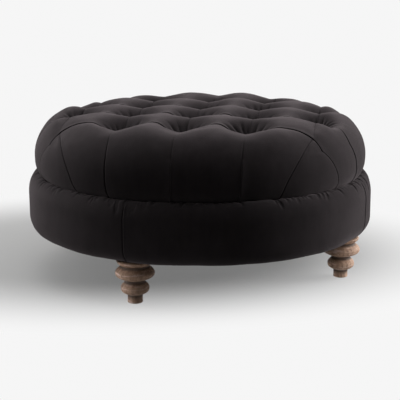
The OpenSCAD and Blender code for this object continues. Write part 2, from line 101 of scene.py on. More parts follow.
# Where the front saddles go over into the rear ones, in metres towards the rear
SADDLE_TO_REAR = (-0.3, 0.3)
# Where forms begin and are full along an edge, as shares of it from its button: the rise from a saddle to
# the rim, the side's rounder valley, the pleat's sharper valley, and the creases of pleat and saddle
SADDLE_SHARE = (0.4, 0.82)
SIDE_VALLEY = (0.65, 1)
PLEAT_VALLEY = (0.12, 0.36)
PLEAT_LINE, SADDLE_LINE = (0.05, 0.2), (0.6, 0.95)
# How strong a crease is where it starts from a fork
FORK_CREASE = 0.3

# The seat's mesh: places across a puff, from a pleat to its middle, and rings down the side
PUFF_SHARES = np.array([0, 0.6, 1.4, 2.4, 3.6, 5, 6.8] + [6.8 + 2.65 * k for k in range(1, 15)]
                       + [43.9 + 7.0 * k for k in range(1, 7)]) / 171.8
SIDE_STEPS = [0, 1, 2, 3, 4, 5, 6, 8, 12, 16, 20, 24]
LINING_STEP = 4
ARC_RINGS, DROP_RINGS, TAIL_RINGS = 12, 15, 4
WADDING = 6 * MM

# Unevenness of the surfaces: the size of its waves in metres, its depth in mm, and its seed
NOISE_WAVES = 24
SEAT_ROUGH = ((0.16, 1.2, 21), (0.05, 0.3, 22))
BAND_ROUGH = ((0.2, 1.0, 33), (0.07, 0.25, 34))
DUST_ROUGH = ((0.12, 0.7, 41),)

# Folds in the seat's cloth, and the shade painted into them; pairs say where a form begins and is full
CREASE_DEPTH = 4.4 * MM
CREASE_WIDTH = 1.6 * MM
LIP_WIDTH = 8 * MM
LIP_LIFT = 2 * MM
LIP_SHIFT = 2.4 * MM
LIP_ROUND = 0.4 * MM
SIDE_CREASE = 0.55
COLUMN_CREASE, FORK_COLUMN_CREASE = 0.22, 0.055
CALM_R = (14 * MM, 40 * MM)
FOLDS_ROUND = 15
FOLD_START_R = (12 * MM, 22 * MM)
FOLD_REACH_MM = (50, 80)
FOLD_STRENGTH = (0.35, 1.0)
FOLD_DEPTH = 22 * MM
FOLD_POWER = 0.42
FOLD_LINE = 2.6 * MM
LINE_WIDTH = 1.9 * MM
# Painted shade deep in each pit, and just behind the lip of the puff in front of it
PIT_SHADE, PIT_SHADE_DEPTH, PIT_SHADE_R = 0.8, (28 * MM, 0.95 * BUTTON_DEPTH), (60 * MM, 90 * MM)
BEHIND_LIP, BEHIND_SHADE = 9 * MM, 0.35
# How sharp each pleat is on the side, anticlockwise from the first above +X
SIDE_SHARPNESS = np.array([0.8, 0.7, 0, 0.7, 0.8, 0.7, 0.8, 0.7, 0, 0.7, 0.8,
                           0.8, 0.15, 0, 0.6, 1, 0.8, 0.8, 0.6, 0, 0.35, 1])
# The two pleats in the middle of the front stand proud and catch the light, so little shade is painted along
# them; the others lie in shade, which is painted along their lines
SIDE_SHADE, SIDE_LIP = np.ones(RIM_NODES), np.full(RIM_NODES, 0.5)
SIDE_SHADE[16:18], SIDE_LIP[16:18] = 0.1, 2.4
SIDE_SHADE[20] = 0.5

# The band
BAND_R = 500 * MM
BASE_R = 465.8 * MM
CREST_R = 470 * MM
CREST_Z = DECK_TOP + 13 * MM
BAND_INNER_R = TAIL_R + 3.4 * MM
BAND_FALL = 13 * MM + 0.7 * 14 * MM
BAND_EDGE_Z = DECK_TOP - 14 * MM
TOP_ROUND = 55 * MM
LOW_ROUND = 46 * MM
TURN_UNDER = 46 * MM
BAND_CLOTH = 1.6 * MM
PUCKERS, SEAM_PUCKERS = 250, 9
PUCKER_DEPTH = 6 * MM
PUCKER_START = (2 * MM, 14 * MM)
UNDER_PLEATS, UNDER_PLEAT_DEPTH, UNDER_PLEAT_FADE = 96, 1.1 * MM, 18 * MM
BAND_MOST_OUT = 1.5 * MM
UNDER_CALM, CREASE_CALM = 60 * MM, 50 * MM
# Points of the band's section on its turned-under edge, lower and upper curve and fall, outside and inside
BAND_POINTS, BAND_LINING_POINTS = (7, 11, 14, 12), (3, 5, 5, 4)
SEAM_DEPTH, SEAM_WIDTH = 2.2 * MM, 1.3 * MM
SEAM_LIP, SEAM_LIP_AWAY, SEAM_LIP_WIDTH = 0.9 * MM, 3 * MM, 2.4 * MM
BAND_STEPS, LINING_COLUMNS = 1760, 4
# The band's mesh has these columns beside each seam
SEAM_COLUMNS = np.array([-5.4, -3, -1.6, -0.8, 0, 0.8, 1.6, 3, 5.4]) * MM
# Painted shade in the gathers, along the seams' grooves, on the turned-under edge and in the crease
PUCKER_SHADE, SEAM_SHADE, UNDER_SHADE, BAND_CREASE_SHADE = 0.95, 0.45, 0.85, 0.8
UNDER_SHADE_RUN, BAND_CREASE_RUN = (TURN_UNDER + 6 * MM, TURN_UNDER + 26 * MM), 14 * MM

# The feet
FOOT_CIRCLE_R = 433.8 * MM
FOOT_TURN = -14
FOOT_TURNS = [math.radians(FOOT_TURN + 90 * k) for k in range(4)]

# The photograph's camera: where it stood, how it was pointed, and its lens and film in mm
CAMERA_TURN = math.radians(9)
CAMERA_AWAY = 2908.6 * MM
CAMERA_HEIGHT = 843.06 * MM
CAMERA_PITCH = math.radians(12.763)
CAMERA_LENS, CAMERA_FILM = 90.32, 36

# The studio: floor, paper, and the light in the air; the floor turns to paper towards the edge of an oval,
# which sits off to the left and back so the floor's grey there is painted shade
FLOOR_HALF = 40.0
FLOOR_COLOUR = (0.21, 0.209, 0.207)
FLOOR_GLOW = 0.16
PAPER_COLOUR = (0.92, 0.92, 0.92)
FLOOR_MIDDLE = (-0.25, 0.15)
FLOOR_REACH = (1.15, 0.8)
FLOOR_EDGE = (0.45, 1.0)
AIR_LIGHT = 0.03
# Each lamp: its name, width and depth, watts, place, what it points at, and its spread in degrees
LAMPS = [("overhead", (2.4, 2.4), 49, (0.02, 0.1, 2.85), (0, 0, 0.4), 180),
         ("behind_left", (2.0, 2.0), 52, (-1.67, 0.96, 2.55), (0, 0, 0.3), 180),
         ("left", (1.6, 2.0), 43, (-2.8, 0.3, 1.28), (0, 0, 0.3), 180),
         ("left_front", (0.3, 0.08), 0.15, (-2.4, -1.5, 0.14), (-0.1, -0.4, 0.04), 14),
         ("right_front", (0.3, 0.08), 0.13, (2.3, -1.0, 0.14), (0.35, -0.15, 0.04), 14),
         ("right", (1.6, 2.0), 102, (2.65, 0.96, 1.28), (0, 0, 0.3), 180)]

# Colours that more than one finish has: the velvets' base, and softwood's pale and dark rings
VELVET_SHADE = (0.0155, 0.0128, 0.0136)
SOFTWOOD = ((0.76, 0.61, 0.41), (0.5, 0.32, 0.17))


# Meshes

def mix(a, b, t):
    return a + (b - a) * t


def ease(low, high, value):
    """0 below low, 1 above high, and smooth between them."""
    t = np.clip((value - low) / (high - low), 0, 1)
    return t * t * (3 - 2 * t)


def bell(distance, width):
    """1 at no distance, falling away smoothly over a width."""
    return np.exp(-(distance / width) ** 2)


def ring_points(r, turn, z):
    """Points round the upright axis, at a radius and a height."""
    return np.stack([r * np.cos(turn), r * np.sin(turn), z + 0 * turn], -1)


def even_turns(count):
    return np.linspace(0, 2 * math.pi, count, endpoint=False)


def make_piece(name, points, faces, smooth=True):
    """A mesh object at the origin from points and faces."""
    mesh = bpy.data.meshes.new(name)
    mesh.from_pydata([tuple(p) for p in points], [], faces)
    mesh.validate()
    mesh.polygons.foreach_set("use_smooth", [smooth] * len(mesh.polygons))
    made = bpy.data.objects.new(name, mesh)
    bpy.context.scene.collection.objects.link(made)
    return made


def grid_faces(rows, cols, start=0, closed=True, flip=False):
    """Quads between rows of a grid of points; each row closes on itself if asked."""
    faces = []
    for r in range(rows - 1):
        for c in range(cols if closed else cols - 1):
            a, b = start + r * cols + c, start + r * cols + (c + 1) % cols
            quad = [a, b, b + cols, a + cols]
            faces.append(quad[::-1] if flip else quad)
    return faces


def smooth_noise(points, size, seed):
    """Gentle random values from about -1 to 1 at places, as a sum of waves of a given size."""
    waves = np.random.default_rng(seed)
    total = np.zeros(len(points))
    for _ in range(NOISE_WAVES):
        way = waves.normal(size=3)
        way *= waves.uniform(0.6, 1.6) * 2 * math.pi / (size * np.linalg.norm(way))
        total += np.sin(points @ way + waves.uniform(0, 2 * math.pi))
    return total / math.sqrt(NOISE_WAVES)


def uneven(points, *layers):
    """How far places stand out by chance: each layer has a size in metres, a depth in mm and a seed."""
    return sum(smooth_noise(points, size, seed) * depth * MM for size, depth, seed in layers)


def mark_points(made, name, values, kind="FLOAT", part="value"):
    """Gives each point of a piece a value under a name, for its finish."""
    marks = made.data.attributes.new(name, kind, "POINT")
    marks.data.foreach_set(part, np.asarray(values, np.float32).ravel())


def finish_piece(made, finish, slot, *nodes):
    """Gives a piece its finish and its place in the object; slot is not used."""
    made.data.materials.clear()
    made.data.materials.append(finish)
    if nodes:
        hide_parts(*nodes)
    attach(made, BODY)
    return made


# Node trees

def set_inputs(tree, made, inputs):
    """Links or sets the inputs of a node by name."""
    for key, value in inputs.items():
        if isinstance(value, bpy.types.NodeSocket):
            tree.links.new(value, made.inputs[key])
        else:
            made.inputs[key].default_value = value


def add_node(tree, kind, inputs=None, **settings):
    """Adds a node, sets its options, and links or sets its inputs by name."""
    made = tree.nodes.new(kind)
    for key, value in settings.items():
        setattr(made, key, value)
    set_inputs(tree, made, inputs or {})
    return made


def math_node(tree, operation, a, b=0.0):
    return add_node(tree, "ShaderNodeMath", {0: a, 1: b}, operation=operation).outputs[0]


def product(tree, total, *values):
    """The product of numbers or sockets, taken in their order."""
    for value in values:
        total = math_node(tree, "MULTIPLY", total, value)
    return total


def combine(tree, x=0.0, y=0.0, z=0.0):
    return add_node(tree, "ShaderNodeCombineXYZ", {"X": x, "Y": y, "Z": z}).outputs[0]


def separate(tree, vector):
    return add_node(tree, "ShaderNodeSeparateXYZ", {0: vector}).outputs


def ease_node(tree, value, low, high):
    """0 below low, 1 above high, and smooth between them."""
    return add_node(tree, "ShaderNodeMapRange", {"Value": value, "From Min": low, "From Max": high},
                    interpolation_type="SMOOTHSTEP").outputs["Result"]


# The net of puffs

def all_round(quarter):
    """The directions of the nodes all round from those in the first quarter, the same in each."""
    back = quarter[::-1]
    return (quarter + [90] + [180 - a for a in back] + [180 + a for a in quarter]
            + [270] + [360 - a for a in back])


def all_round_pleats(quarter):
    """How deep each node's pleat is, from the shares in the first quarter."""
    return quarter + [1] + quarter[::-1] + quarter + [1] + quarter[::-1]


RIM_TURNS = np.array(all_round(RIM_QUARTER), float)
CREASE_TURNS = np.array(all_round(CREASE_QUARTER), float)
RIM_PLEATS = np.array(all_round_pleats(PLEAT_QUARTER), float)


def rim_index(i, j):
    """The number of a node on the rim, anticlockwise from the first above +X."""
    if i == COLS:
        return (j - FIRST_ROW) % RIM_NODES
    corner = ROWS - FIRST_ROW + COLS
    return corner - i if j == ROWS else corner + ROWS + i - j


def on_rim(node):
    return node[0] in (0, COLS) or node[1] in (0, ROWS)


def is_fork(node):
    return node[0] in (1, COLS - 1) and node[1] in (1, ROWS - 1)


# The pleats on the side that come from a fork, by their index round the rim
FORK_LINES = np.isin(np.arange(RIM_NODES), [rim_index(i, j) for j in (1, ROWS - 1) for i in (0, COLS)]
                     + [rim_index(i, j) for i in (1, COLS - 1) for j in (0, ROWS)])


def node_place(node):
    """Where a node is on the plan."""
    if on_rim(node):
        turn = math.radians(RIM_TURNS[rim_index(*node)])
        return RIM_R * np.array([math.cos(turn), math.sin(turn)])
    side = np.array([node[0] - COLS / 2, node[1] - ROWS / 2])
    if is_fork(node):
        turn = math.radians(FORK_TURN)
        r = FLAT_R + SHOULDER_R * math.cos(FORK_RISE)
        return r * np.sign(side) * (math.cos(turn), math.sin(turn))
    return PITCH * side


def node_drop(node):
    """How deep a node lies under the puffs."""
    if on_rim(node):
        return SIDE_DEPTH * RIM_PLEATS[rim_index(*node)]
    return FORK_DEPTH if is_fork(node) else BUTTON_DEPTH


def near_turn(a, b):
    """The direction b, brought within half a turn of a."""
    return b + 360 * np.round((a - b) / 360)


def edge_place(a, b, t):
    """Places on the plan along the edge between two nodes: the rim's are arcs, the others straight."""
    if on_rim(a) and on_rim(b):
        first, last = RIM_TURNS[rim_index(*a)], RIM_TURNS[rim_index(*b)]
        turn = np.radians(mix(first, near_turn(first, last), t))
        return RIM_R * np.stack([np.cos(turn), np.sin(turn)], -1)
    return mix(node_place(a), node_place(b), t[..., None])


def nearness(t, power=PUFF_POWER):
    """1 on a pleat and 0 in the middle of a puff."""
    return 1 - np.sin(np.pi * np.clip(t, 0, 1)) ** power


def end_nearness(t, power):
    """The same for the pleat at t = 0 alone."""
    return np.where(t < 0.5, nearness(t, power), 0)


def edge_length(a, b):
    return np.linalg.norm(node_place(a) - node_place(b))


def edge_drop(a, b, t):
    """How far a pleat lies below the puffs, along the edge between two nodes."""
    first, last = node_drop(a), node_drop(b)
    if on_rim(a) and on_rim(b):
        return first * end_nearness(t, SIDE_POWER) + last * end_nearness(1 - t, SIDE_POWER)
    if on_rim(a):
        return edge_drop(b, a, 1 - t)
    if on_rim(b):
        if is_fork(a):
            return mix(first, last, ease(0, 1, t))
        low = mix(FRONT_SADDLE, REAR_SADDLE, ease(*SADDLE_TO_REAR, node_place(b)[1]))
        saddle = mix(low, last, ease(*SADDLE_SHARE, t))
        return saddle + (first - saddle) * end_nearness(t * edge_length(a, b) / PITCH, ARCH_POWER)
    span = max(edge_length(a, b) / PITCH, LEAST_SPAN)
    return (PLEAT_DEPTH + (first - PLEAT_DEPTH) * end_nearness(t * span, ARCH_POWER)
            + (last - PLEAT_DEPTH) * end_nearness((1 - t) * span, ARCH_POWER))


def edge_power(a, b, t):
    """How sharp the valley over a pleat is: a crease below 1, a round saddle above."""
    if on_rim(a) and on_rim(b):
        return np.full(t.shape, SIDE_POWER)
    if on_rim(a):
        return edge_power(b, a, 1 - t)
    if on_rim(b):
        if is_fork(a):
            return mix(PUFF_POWER, SIDE_POWER, ease(0, 1, t))
        return mix(PIT_POWER, SIDE_POWER, ease(*SIDE_VALLEY, t))
    from_first = 1 if is_fork(a) else ease(*PLEAT_VALLEY, t)
    from_last = 1 if is_fork(b) else ease(*PLEAT_VALLEY, 1 - t)
    return mix(PIT_POWER, PUFF_POWER, from_first * from_last)


def puff_shares():
    """Places across a puff, from 0 to 1, close together at the pleats."""
    half = PUFF_SHARES / (2 * PUFF_SHARES[-1])
    return np.concatenate([half, 1 - half[-2::-1]])


def crown_z(r):
    """The height of the puffs over the flat middle, at a radius."""
    return SEAT_TOP - CROWN_RISE * (r / FLAT_R) ** 2


def on_seat(xy, drop):
    """Points of the seat over places on the plan, at a depth under the puffs."""
    r = np.linalg.norm(xy, axis=-1)
    out = xy / np.maximum(r, 1e-9)[..., None]
    flat = r <= FLAT_R
    rise = np.where(flat, math.pi / 2, np.arccos(np.clip((r - FLAT_R) / SHOULDER_R, -1, 1)))
    up = np.concatenate([out * np.cos(rise)[..., None], np.sin(rise)[..., None]], -1)
    z = np.where(flat, crown_z(r), SHOULDER_Z + SHOULDER_R * np.sin(rise))
    shoulder = out * (FLAT_R + SHOULDER_R * np.cos(rise))[..., None]
    base = np.concatenate([np.where(flat[..., None], xy, shoulder), z[..., None]], -1)
    return base - up * drop[..., None]


def puff_fullness(cell):
    """How much fuller or slacker one puff is than the others."""
    own = np.random.default_rng(100 + cell[0] * ROWS + cell[1]).uniform(-PUFF_UNEVEN, PUFF_UNEVEN) * MM
    return PUFF_RISE + REAR_RISE * cell[1] / (ROWS - 1) + own


def crease_gain(a, b, t):
    """How strong the crease of a pleat is along its edge: none over the saddle between button and side."""
    if on_rim(a) and on_rim(b):
        return np.zeros_like(t)
    if on_rim(a):
        return crease_gain(b, a, 1 - t)
    if on_rim(b):
        low = SIDE_CREASE * SIDE_SHARPNESS[rim_index(*b)]
        return mix(FORK_CREASE, low, t) if is_fork(a) else 0.6 * low * ease(*SADDLE_LINE, t)
    from_first = 0.5 if is_fork(a) else ease(*PLEAT_LINE, t)
    from_last = 0.5 if is_fork(b) else ease(*PLEAT_LINE, 1 - t)
    gain = from_first * from_last
    return mix(FORK_CREASE, 1, gain) if is_fork(a) or is_fork(b) else gain


def of_nearer(measure, far, first, last, t):
    """A measure along the nearer of a puff's two edges that run the same way."""
    return np.where(far, measure(*last, t), measure(*first, t))


def crease_shape(distance, lip=1.0):
    """Depth and sideways shift of the cloth at a signed distance from a pleat, lapped over on one side."""
    over = np.where(distance > 0, 1.0, 0.0)
    near = bell(distance, LIP_WIDTH)
    depth = CREASE_DEPTH * bell(distance, CREASE_WIDTH) - lip * LIP_LIFT * near * mix(-0.3, 1, over)
    shift = lip * 0.5 * LIP_SHIFT * bell(distance, LIP_ROUND) - lip * LIP_SHIFT * over * near
    return depth, shift


def line_shade(distance, gain):
    """How much shade is painted along a fold, from 0 to 1."""
    return np.clip(1.6 * gain, 0, 1) * bell(distance, LINE_WIDTH)


def beside_pit(t):
    """1 a little way along an edge from the pit at its start, and 0 in the pit and past the edge's middle."""
    return (1 - ease(0.3, 0.5, t)) * ease(0.03, 0.08, t)


def puff_cell(cell, shares):
    """One puff: places on the plan, depth under the puffs, sideways shift, and painted shade in its folds."""
    i, j = cell
    s, t = np.meshgrid(shares, shares)
    corner_of = {(u, v): (i + u, j + v) for u in (0, 1) for v in (0, 1)}
    front, rear = (corner_of[0, 0], corner_of[1, 0]), (corner_of[0, 1], corner_of[1, 1])
    left, right = (corner_of[0, 0], corner_of[0, 1]), (corner_of[1, 0], corner_of[1, 1])
    xy = (mix(edge_place(*front, s), edge_place(*rear, s), t[..., None])
          + mix(edge_place(*left, t), edge_place(*right, t), s[..., None])
          - mix(mix(node_place(front[0]), node_place(front[1]), s[..., None]),
                mix(node_place(rear[0]), node_place(rear[1]), s[..., None]), t[..., None]))
    to_rear, to_right = t >= 0.5, s >= 0.5
    along = of_nearer(edge_drop, to_rear, front, rear, s)
    along_near = nearness(t, of_nearer(edge_power, to_rear, front, rear, s))
    across = of_nearer(edge_drop, to_right, left, right, t)
    across_near = nearness(s, of_nearer(edge_power, to_right, left, right, t))
    drops = np.array([[node_drop(corner_of[u, v]) for u in (0, 1)] for v in (0, 1)])
    corner = drops[to_rear.astype(int), to_right.astype(int)]
    drop = across_near * across + along_near * along - across_near * along_near * corner
    if i in (0, COLS - 1) and j in (0, ROWS - 1):
        fork = node_place((max(i, 1), max(j, 1)))
        tip = FORK_TIP * (1 - ease(0, FORK_TIP_REACH, np.linalg.norm(xy - fork, axis=-1)))
        drop = np.maximum(drop, tip)
    else:
        drop = drop - puff_fullness(cell) * (np.sin(np.pi * s) * np.sin(np.pi * t)) ** FULLNESS_POWER

    width = np.linalg.norm(edge_place(*right, t) - edge_place(*left, t), axis=-1)
    depth = np.linalg.norm(edge_place(*rear, s) - edge_place(*front, s), axis=-1)
    shift = np.zeros(s.shape + (2,))
    from_row = np.where(to_rear, t - 1, t) * depth
    gain = of_nearer(crease_gain, to_rear, front, rear, s)
    fold, move = crease_shape(from_row)
    drop = drop + fold * gain
    shift[..., 1] += move * gain
    painted_shade = line_shade(from_row, gain)
    # Painted shade just behind the lip of the puff in front, beside each pit
    if j > 0:
        from_left = beside_pit(s) * (i > 0 and (i > 1 or not is_fork((i, j))))
        from_right = beside_pit(1 - s) * (i < COLS - 1 and not is_fork((i + 1, j)))
        behind = bell(np.maximum(from_row, 0), BEHIND_LIP) * (from_row >= 0) * ~to_rear
        painted_shade = np.maximum(painted_shade, BEHIND_SHADE * behind * np.maximum(from_left, from_right))
    from_column = np.where(to_right, s - 1, s) * width
    gain = of_nearer(crease_gain, to_right, left, right, t)
    if 0 < j < ROWS - 1:
        beside_fork = any(is_fork(corner) for corner in corner_of.values())
        gain *= FORK_COLUMN_CREASE if beside_fork else COLUMN_CREASE
    fold, move = crease_shape(from_column, 0)
    drop = drop + fold * gain
    shift[..., 0] += move * gain
    return xy, drop, shift, np.maximum(painted_shade, line_shade(from_column, gain))


BUTTONS = [(i, j) for j in range(1, ROWS) for i in range(1, COLS) if not is_fork((i, j))]


def pit_folds(xy, button):
    """Depth and painted shade of the folds that run into a button's pit, and the distance from the button."""
    folds = np.random.default_rng(500 + button[0] * 10 + button[1])
    away = xy - node_place(button)
    r = np.linalg.norm(away, axis=-1)
    turn = np.arctan2(away[..., 1], away[..., 0]) % (2 * math.pi)
    step = 2 * math.pi / FOLDS_ROUND
    order = np.arange(FOLDS_ROUND)
    lines = step * (order + folds.uniform(-0.24, 0.24, FOLDS_ROUND) * (order % 3 > 0))
    reach = folds.uniform(*FOLD_REACH_MM, FOLDS_ROUND) * MM
    strength = folds.uniform(*FOLD_STRENGTH, FOLDS_ROUND)
    lines = np.concatenate([lines, [lines[0] + 2 * math.pi]])
    depth, shade = np.zeros(r.shape), np.zeros(r.shape)
    turn = np.where(turn < lines[0], turn + 2 * math.pi, turn)
    for k in range(FOLDS_ROUND):
        after = (k + 1) % FOLDS_ROUND
        share = (turn - lines[k]) / (lines[k + 1] - lines[k])
        inside = (share >= 0) & (share < 1)
        share = np.clip(share, 0, 1)
        length = mix(reach[k], reach[after], share)
        strong = mix(strength[k], strength[after], share) * (1 - ease(0.45 * length, length, r))
        beside = np.minimum(share, 1 - share) * (lines[k + 1] - lines[k]) * r
        depth = np.where(inside, (1 - np.sin(np.pi * share) ** FOLD_POWER) * strong, depth)
        shade = np.where(inside, bell(beside, FOLD_LINE) * np.clip(2.4 * strong, 0, 1), shade)
    return FOLD_DEPTH * depth * ease(*FOLD_START_R, r), shade, r


def seat_top_grid(shares, detailed):
    """The net of puffs as one grid of points with their painted shade; the lining is plain and lies deeper.
    """
    count = len(shares) - 1
    rows, cols = ROWS * count + 1, COLS * count + 1
    xy, shift = np.zeros((rows, cols, 2)), np.zeros((rows, cols, 2))
    drop, painted_shade = np.zeros((rows, cols)), np.zeros((rows, cols))
    for j in range(ROWS):
        for i in range(COLS):
            part = (slice(j * count, (j + 1) * count + 1), slice(i * count, (i + 1) * count + 1))
            xy[part], drop[part], shift[part], painted_shade[part] = puff_cell((i, j), shares)
    if not detailed:
        return np.concatenate([on_seat(xy, drop + WADDING), 0 * painted_shade[..., None]], -1)
    calm = np.ones((rows, cols))
    for button in BUTTONS:
        folds, shade, r = pit_folds(xy, button)
        drop += folds
        # Painted shade deep in the pit, round the button
        deep = PIT_SHADE * ease(*PIT_SHADE_DEPTH, drop) * (1 - ease(*PIT_SHADE_R, r))
        painted_shade = np.maximum(painted_shade, np.maximum(shade, deep))
        in_pit = mix(BUTTON_DEPTH + PIT_BELOW, drop, ease(BUTTON_D / 2, PIT_R, r))
        drop = np.where(r < PIT_R, in_pit, drop)
        calm = np.minimum(calm, ease(*CALM_R, r))
    points = on_seat(xy, drop)
    points[..., :2] += shift * calm[..., None]
    return np.concatenate([points, painted_shade[..., None]], -1)


def rim_steps(count, steps):
    """Rim points that carry a column of the side, as places along one puff's edge."""
    return sorted({*steps, *(count - k for k in steps if k), count // 2})


def side_grid(shares, steps, inset, detailed):
    """Rings down the seat's side, from below the rim to the end of the cover's tail, an inset deep."""
    node = np.repeat(np.arange(RIM_NODES), len(steps))
    after = (node + 1) % RIM_NODES
    share = np.tile(shares[steps], RIM_NODES)
    stages = (("arc", ARC_RINGS), ("drop", DROP_RINGS), ("tail", TAIL_RINGS))
    falls = [(stage, k / count) for stage, count in stages for k in range(1, count + 1)]
    rim_z = SHOULDER_Z + SHOULDER_R * math.sin(RIM_RISE)
    rings = []
    for stage, part in falls:
        if stage == "arc":
            angle = RIM_RISE * (1 - part)
            r, z = FLAT_R + SHOULDER_R * math.cos(angle), SHOULDER_Z + SHOULDER_R * math.sin(angle)
            up = (math.cos(angle), math.sin(angle))
        elif stage == "drop":
            r, z = SEAT_R - TUCK_IN * part ** TUCK_POWER, mix(SHOULDER_Z, DECK_TOP, part)
            up = (1, -0.2 * part)
        else:
            r, z = mix(SEAT_R - TUCK_IN, TAIL_R, min(1, part * 3)), mix(DECK_TOP, TAIL_Z, part)
            up = (1, 0)
        low = min(1, (rim_z - z) / (rim_z - DECK_TOP))
        way = 1 - (1 - low) ** 2
        turn_line = mix(RIM_TURNS, near_turn(RIM_TURNS, CREASE_TURNS), way)
        first, last = turn_line[node], near_turn(turn_line[node], turn_line[after])
        turn = np.radians(mix(first, last, share))
        above_tail = 0 if stage == "tail" else 1
        hold = above_tail * (1 - SIDE_FADE * low)
        drop = inset + hold * SIDE_DEPTH * (
            RIM_PLEATS[node] * end_nearness(share, SIDE_POWER)
            + RIM_PLEATS[after] * end_nearness(1 - share, SIDE_POWER))
        painted_shade = np.zeros(len(turn))
        if detailed:
            gap = np.radians(last - first) * r
            for line, along in ((node, share), (after, share - 1)):
                lip = np.where(np.cos(np.radians(RIM_TURNS[line])) > 0, 1, -1)
                fold, move = crease_shape(along * gap * lip, SIDE_LIP[line])
                near = SIDE_SHARPNESS[line] * (np.abs(along) < 0.5) * SIDE_CREASE * above_tail
                near = near * np.where(FORK_LINES[line], 1, mix(0.6, 1, ease(0, 0.3, low)))
                drop = drop + fold * near
                turn = turn + move * lip * near / r
                # Painted shade along each side pleat's line
                painted_shade = np.maximum(painted_shade, SIDE_SHADE[line] * line_shade(along * gap, near))
        ring = ring_points(r - drop * up[0], turn, z - drop * up[1])
        rings.append(np.concatenate([ring, painted_shade[:, None]], -1))
    return np.array(rings)


def rim_in_grid(count):
    """Index in the top's grid of each rim point, anticlockwise from the first node above +X."""
    cols = COLS * count + 1
    places = ([(COLS * count, v) for v in range(FIRST_ROW * count, ROWS * count)]
              + [(u, ROWS * count) for u in range(COLS * count, 0, -1)]
              + [(0, v) for v in range(ROWS * count, 0, -1)]
              + [(u, 0) for u in range(COLS * count)]
              + [(COLS * count, v) for v in range(FIRST_ROW * count)])
    return [v * cols + u for u, v in places]


def seat_wall(shares, steps, inset, detailed):
    """One wall of the seat's cover: its points, its faces, and its last ring."""
    count = len(shares) - 1
    top = seat_top_grid(shares, detailed)
    rows, cols = top.shape[:2]
    rings = side_grid(shares, steps, inset, detailed)
    across = rings.shape[1]
    points = np.concatenate([top.reshape(-1, 4), rings.reshape(-1, 4)])
    faces = grid_faces(rows, cols, closed=False)
    start = rows * cols
    rim = rim_in_grid(count)
    columns = [cell * count + step for cell in range(RIM_NODES) for step in steps]
    for m in range(across):
        after = (m + 1) % across
        last = columns[after] if after else len(rim)
        between = [rim[k % len(rim)] for k in range(last, columns[m] - 1, -1)]
        faces.append([start + m, start + after] + between)
    faces += grid_faces(len(rings), across, start, flip=True)
    end = start + (len(rings) - 1) * across
    return points, faces, dict(zip(columns, range(end, end + across)))


def make_seat():
    """The tufted cover: an outer wall in full detail and a plain inner wall, joined at the tail's end."""
    shares = puff_shares()
    count = len(shares) - 1
    outer, faces, outer_end = seat_wall(shares, rim_steps(count, SIDE_STEPS), 0, True)
    lining = shares[::LINING_STEP]
    inner, inner_faces, inner_end = seat_wall(lining, list(range(len(lining) - 1)), WADDING, False)
    outer[:, 2] += np.where(outer[:, 2] < DECK_TOP, 0, uneven(outer[:, :3], *SEAT_ROUGH))
    start = len(outer)
    faces += [[start + k for k in face[::-1]] for face in inner_faces]
    around = RIM_NODES * count
    for m in inner_end:
        after = (m + 1) % (around // LINING_STEP)
        beside = [k % around for k in range(LINING_STEP * m, LINING_STEP * (m + 1) + 1)]
        strip = [outer_end[k] for k in beside if k in outer_end]
        faces.append([start + inner_end[after], start + inner_end[m]] + strip)
    points = np.concatenate([outer, inner])
    made = make_piece("tufted_seat_cover", points[:, :3], faces)
    mark_points(made, "painted_shade", points[:, 3])
    return made


# The band

def arc_line(centre, across, up, first, last, count):
    """Points of an ellipse's arc between two angles."""
    t = np.radians(np.linspace(first, last, count + 1))
    return np.stack([centre[0] + across * np.cos(t), centre[1] + up * np.sin(t)], -1)


def band_section(inset, points_per_turn):
    """The band's section from its turned-under edge, out over the swell and down into the crease."""
    under, low, top, fall = points_per_turn
    flat = [[r, BASE_Z + inset] for r in np.linspace(BASE_R - TURN_UNDER, BASE_R, under)[:-1]]
    crease = CREST_R - BAND_INNER_R - inset
    return np.concatenate([
        flat,
        arc_line((BASE_R, BASE_Z + LOW_ROUND), BAND_R - BASE_R - inset, LOW_ROUND - inset, -90, 0, low),
        arc_line((CREST_R, CREST_Z - TOP_ROUND), BAND_R - CREST_R - inset, TOP_ROUND - inset, 0, 90, top),
        arc_line((CREST_R, CREST_Z - BAND_FALL), crease, BAND_FALL - inset, 90, 180, fall)[1:],
        [[BAND_INNER_R + inset, BAND_EDGE_Z]]])


def turn_gap(turn, place):
    """The angle from a place round the pouf, the short way."""
    return (turn - place + math.pi) % (2 * math.pi) - math.pi


def pucker_places():
    """Where the band's top edge is gathered: bunches of folds, closer and deeper beside each seam."""
    folds = np.random.default_rng(31)
    places = folds.uniform(0, 2 * math.pi, PUCKERS)
    bunch = 0.5 + 0.5 * np.sin(5 * places + 1.3) * np.sin(11 * places)
    beside_seam = np.max([bell(turn_gap(places, turn), 0.09) for turn in FOOT_TURNS], axis=0)
    strength = folds.uniform(0.15, 1, PUCKERS) * np.clip(0.4 + 0.65 * bunch + 0.9 * beside_seam, 0, 1.2)
    width = folds.uniform(1.6, 4.2, PUCKERS) * MM / CREST_R
    reach = folds.uniform(10, 46, PUCKERS) * MM * (0.5 + 0.5 * strength)
    lean = folds.normal(0, 0.28, PUCKERS)
    own = list(zip(places, strength, width, reach, lean))
    for seam in FOOT_TURNS:
        for gap in folds.uniform(-0.1, 0.13, SEAM_PUCKERS):
            own.append((seam + gap, folds.uniform(0.7, 1.2), folds.uniform(2.4, 4.4) * MM / CREST_R,
                        folds.uniform(26, 62) * MM, folds.normal(0, 0.16)))
    return own


def pucker_drop(puckers, turn, down):
    """How deep the gathers are round a ring, a way down from the band's crest."""
    drop = np.zeros(len(turn))
    for place, strength, width, reach, lean in puckers:
        fade = 1 - ease(0.25 * reach, reach, down)
        if fade > 0:
            off = turn_gap(turn, place + lean * max(down, 0) / CREST_R)
            spread = width * (1 + 0.5 * max(down, 0) / reach)
            drop = np.maximum(drop, PUCKER_DEPTH * strength * fade * bell(off, spread))
    return drop


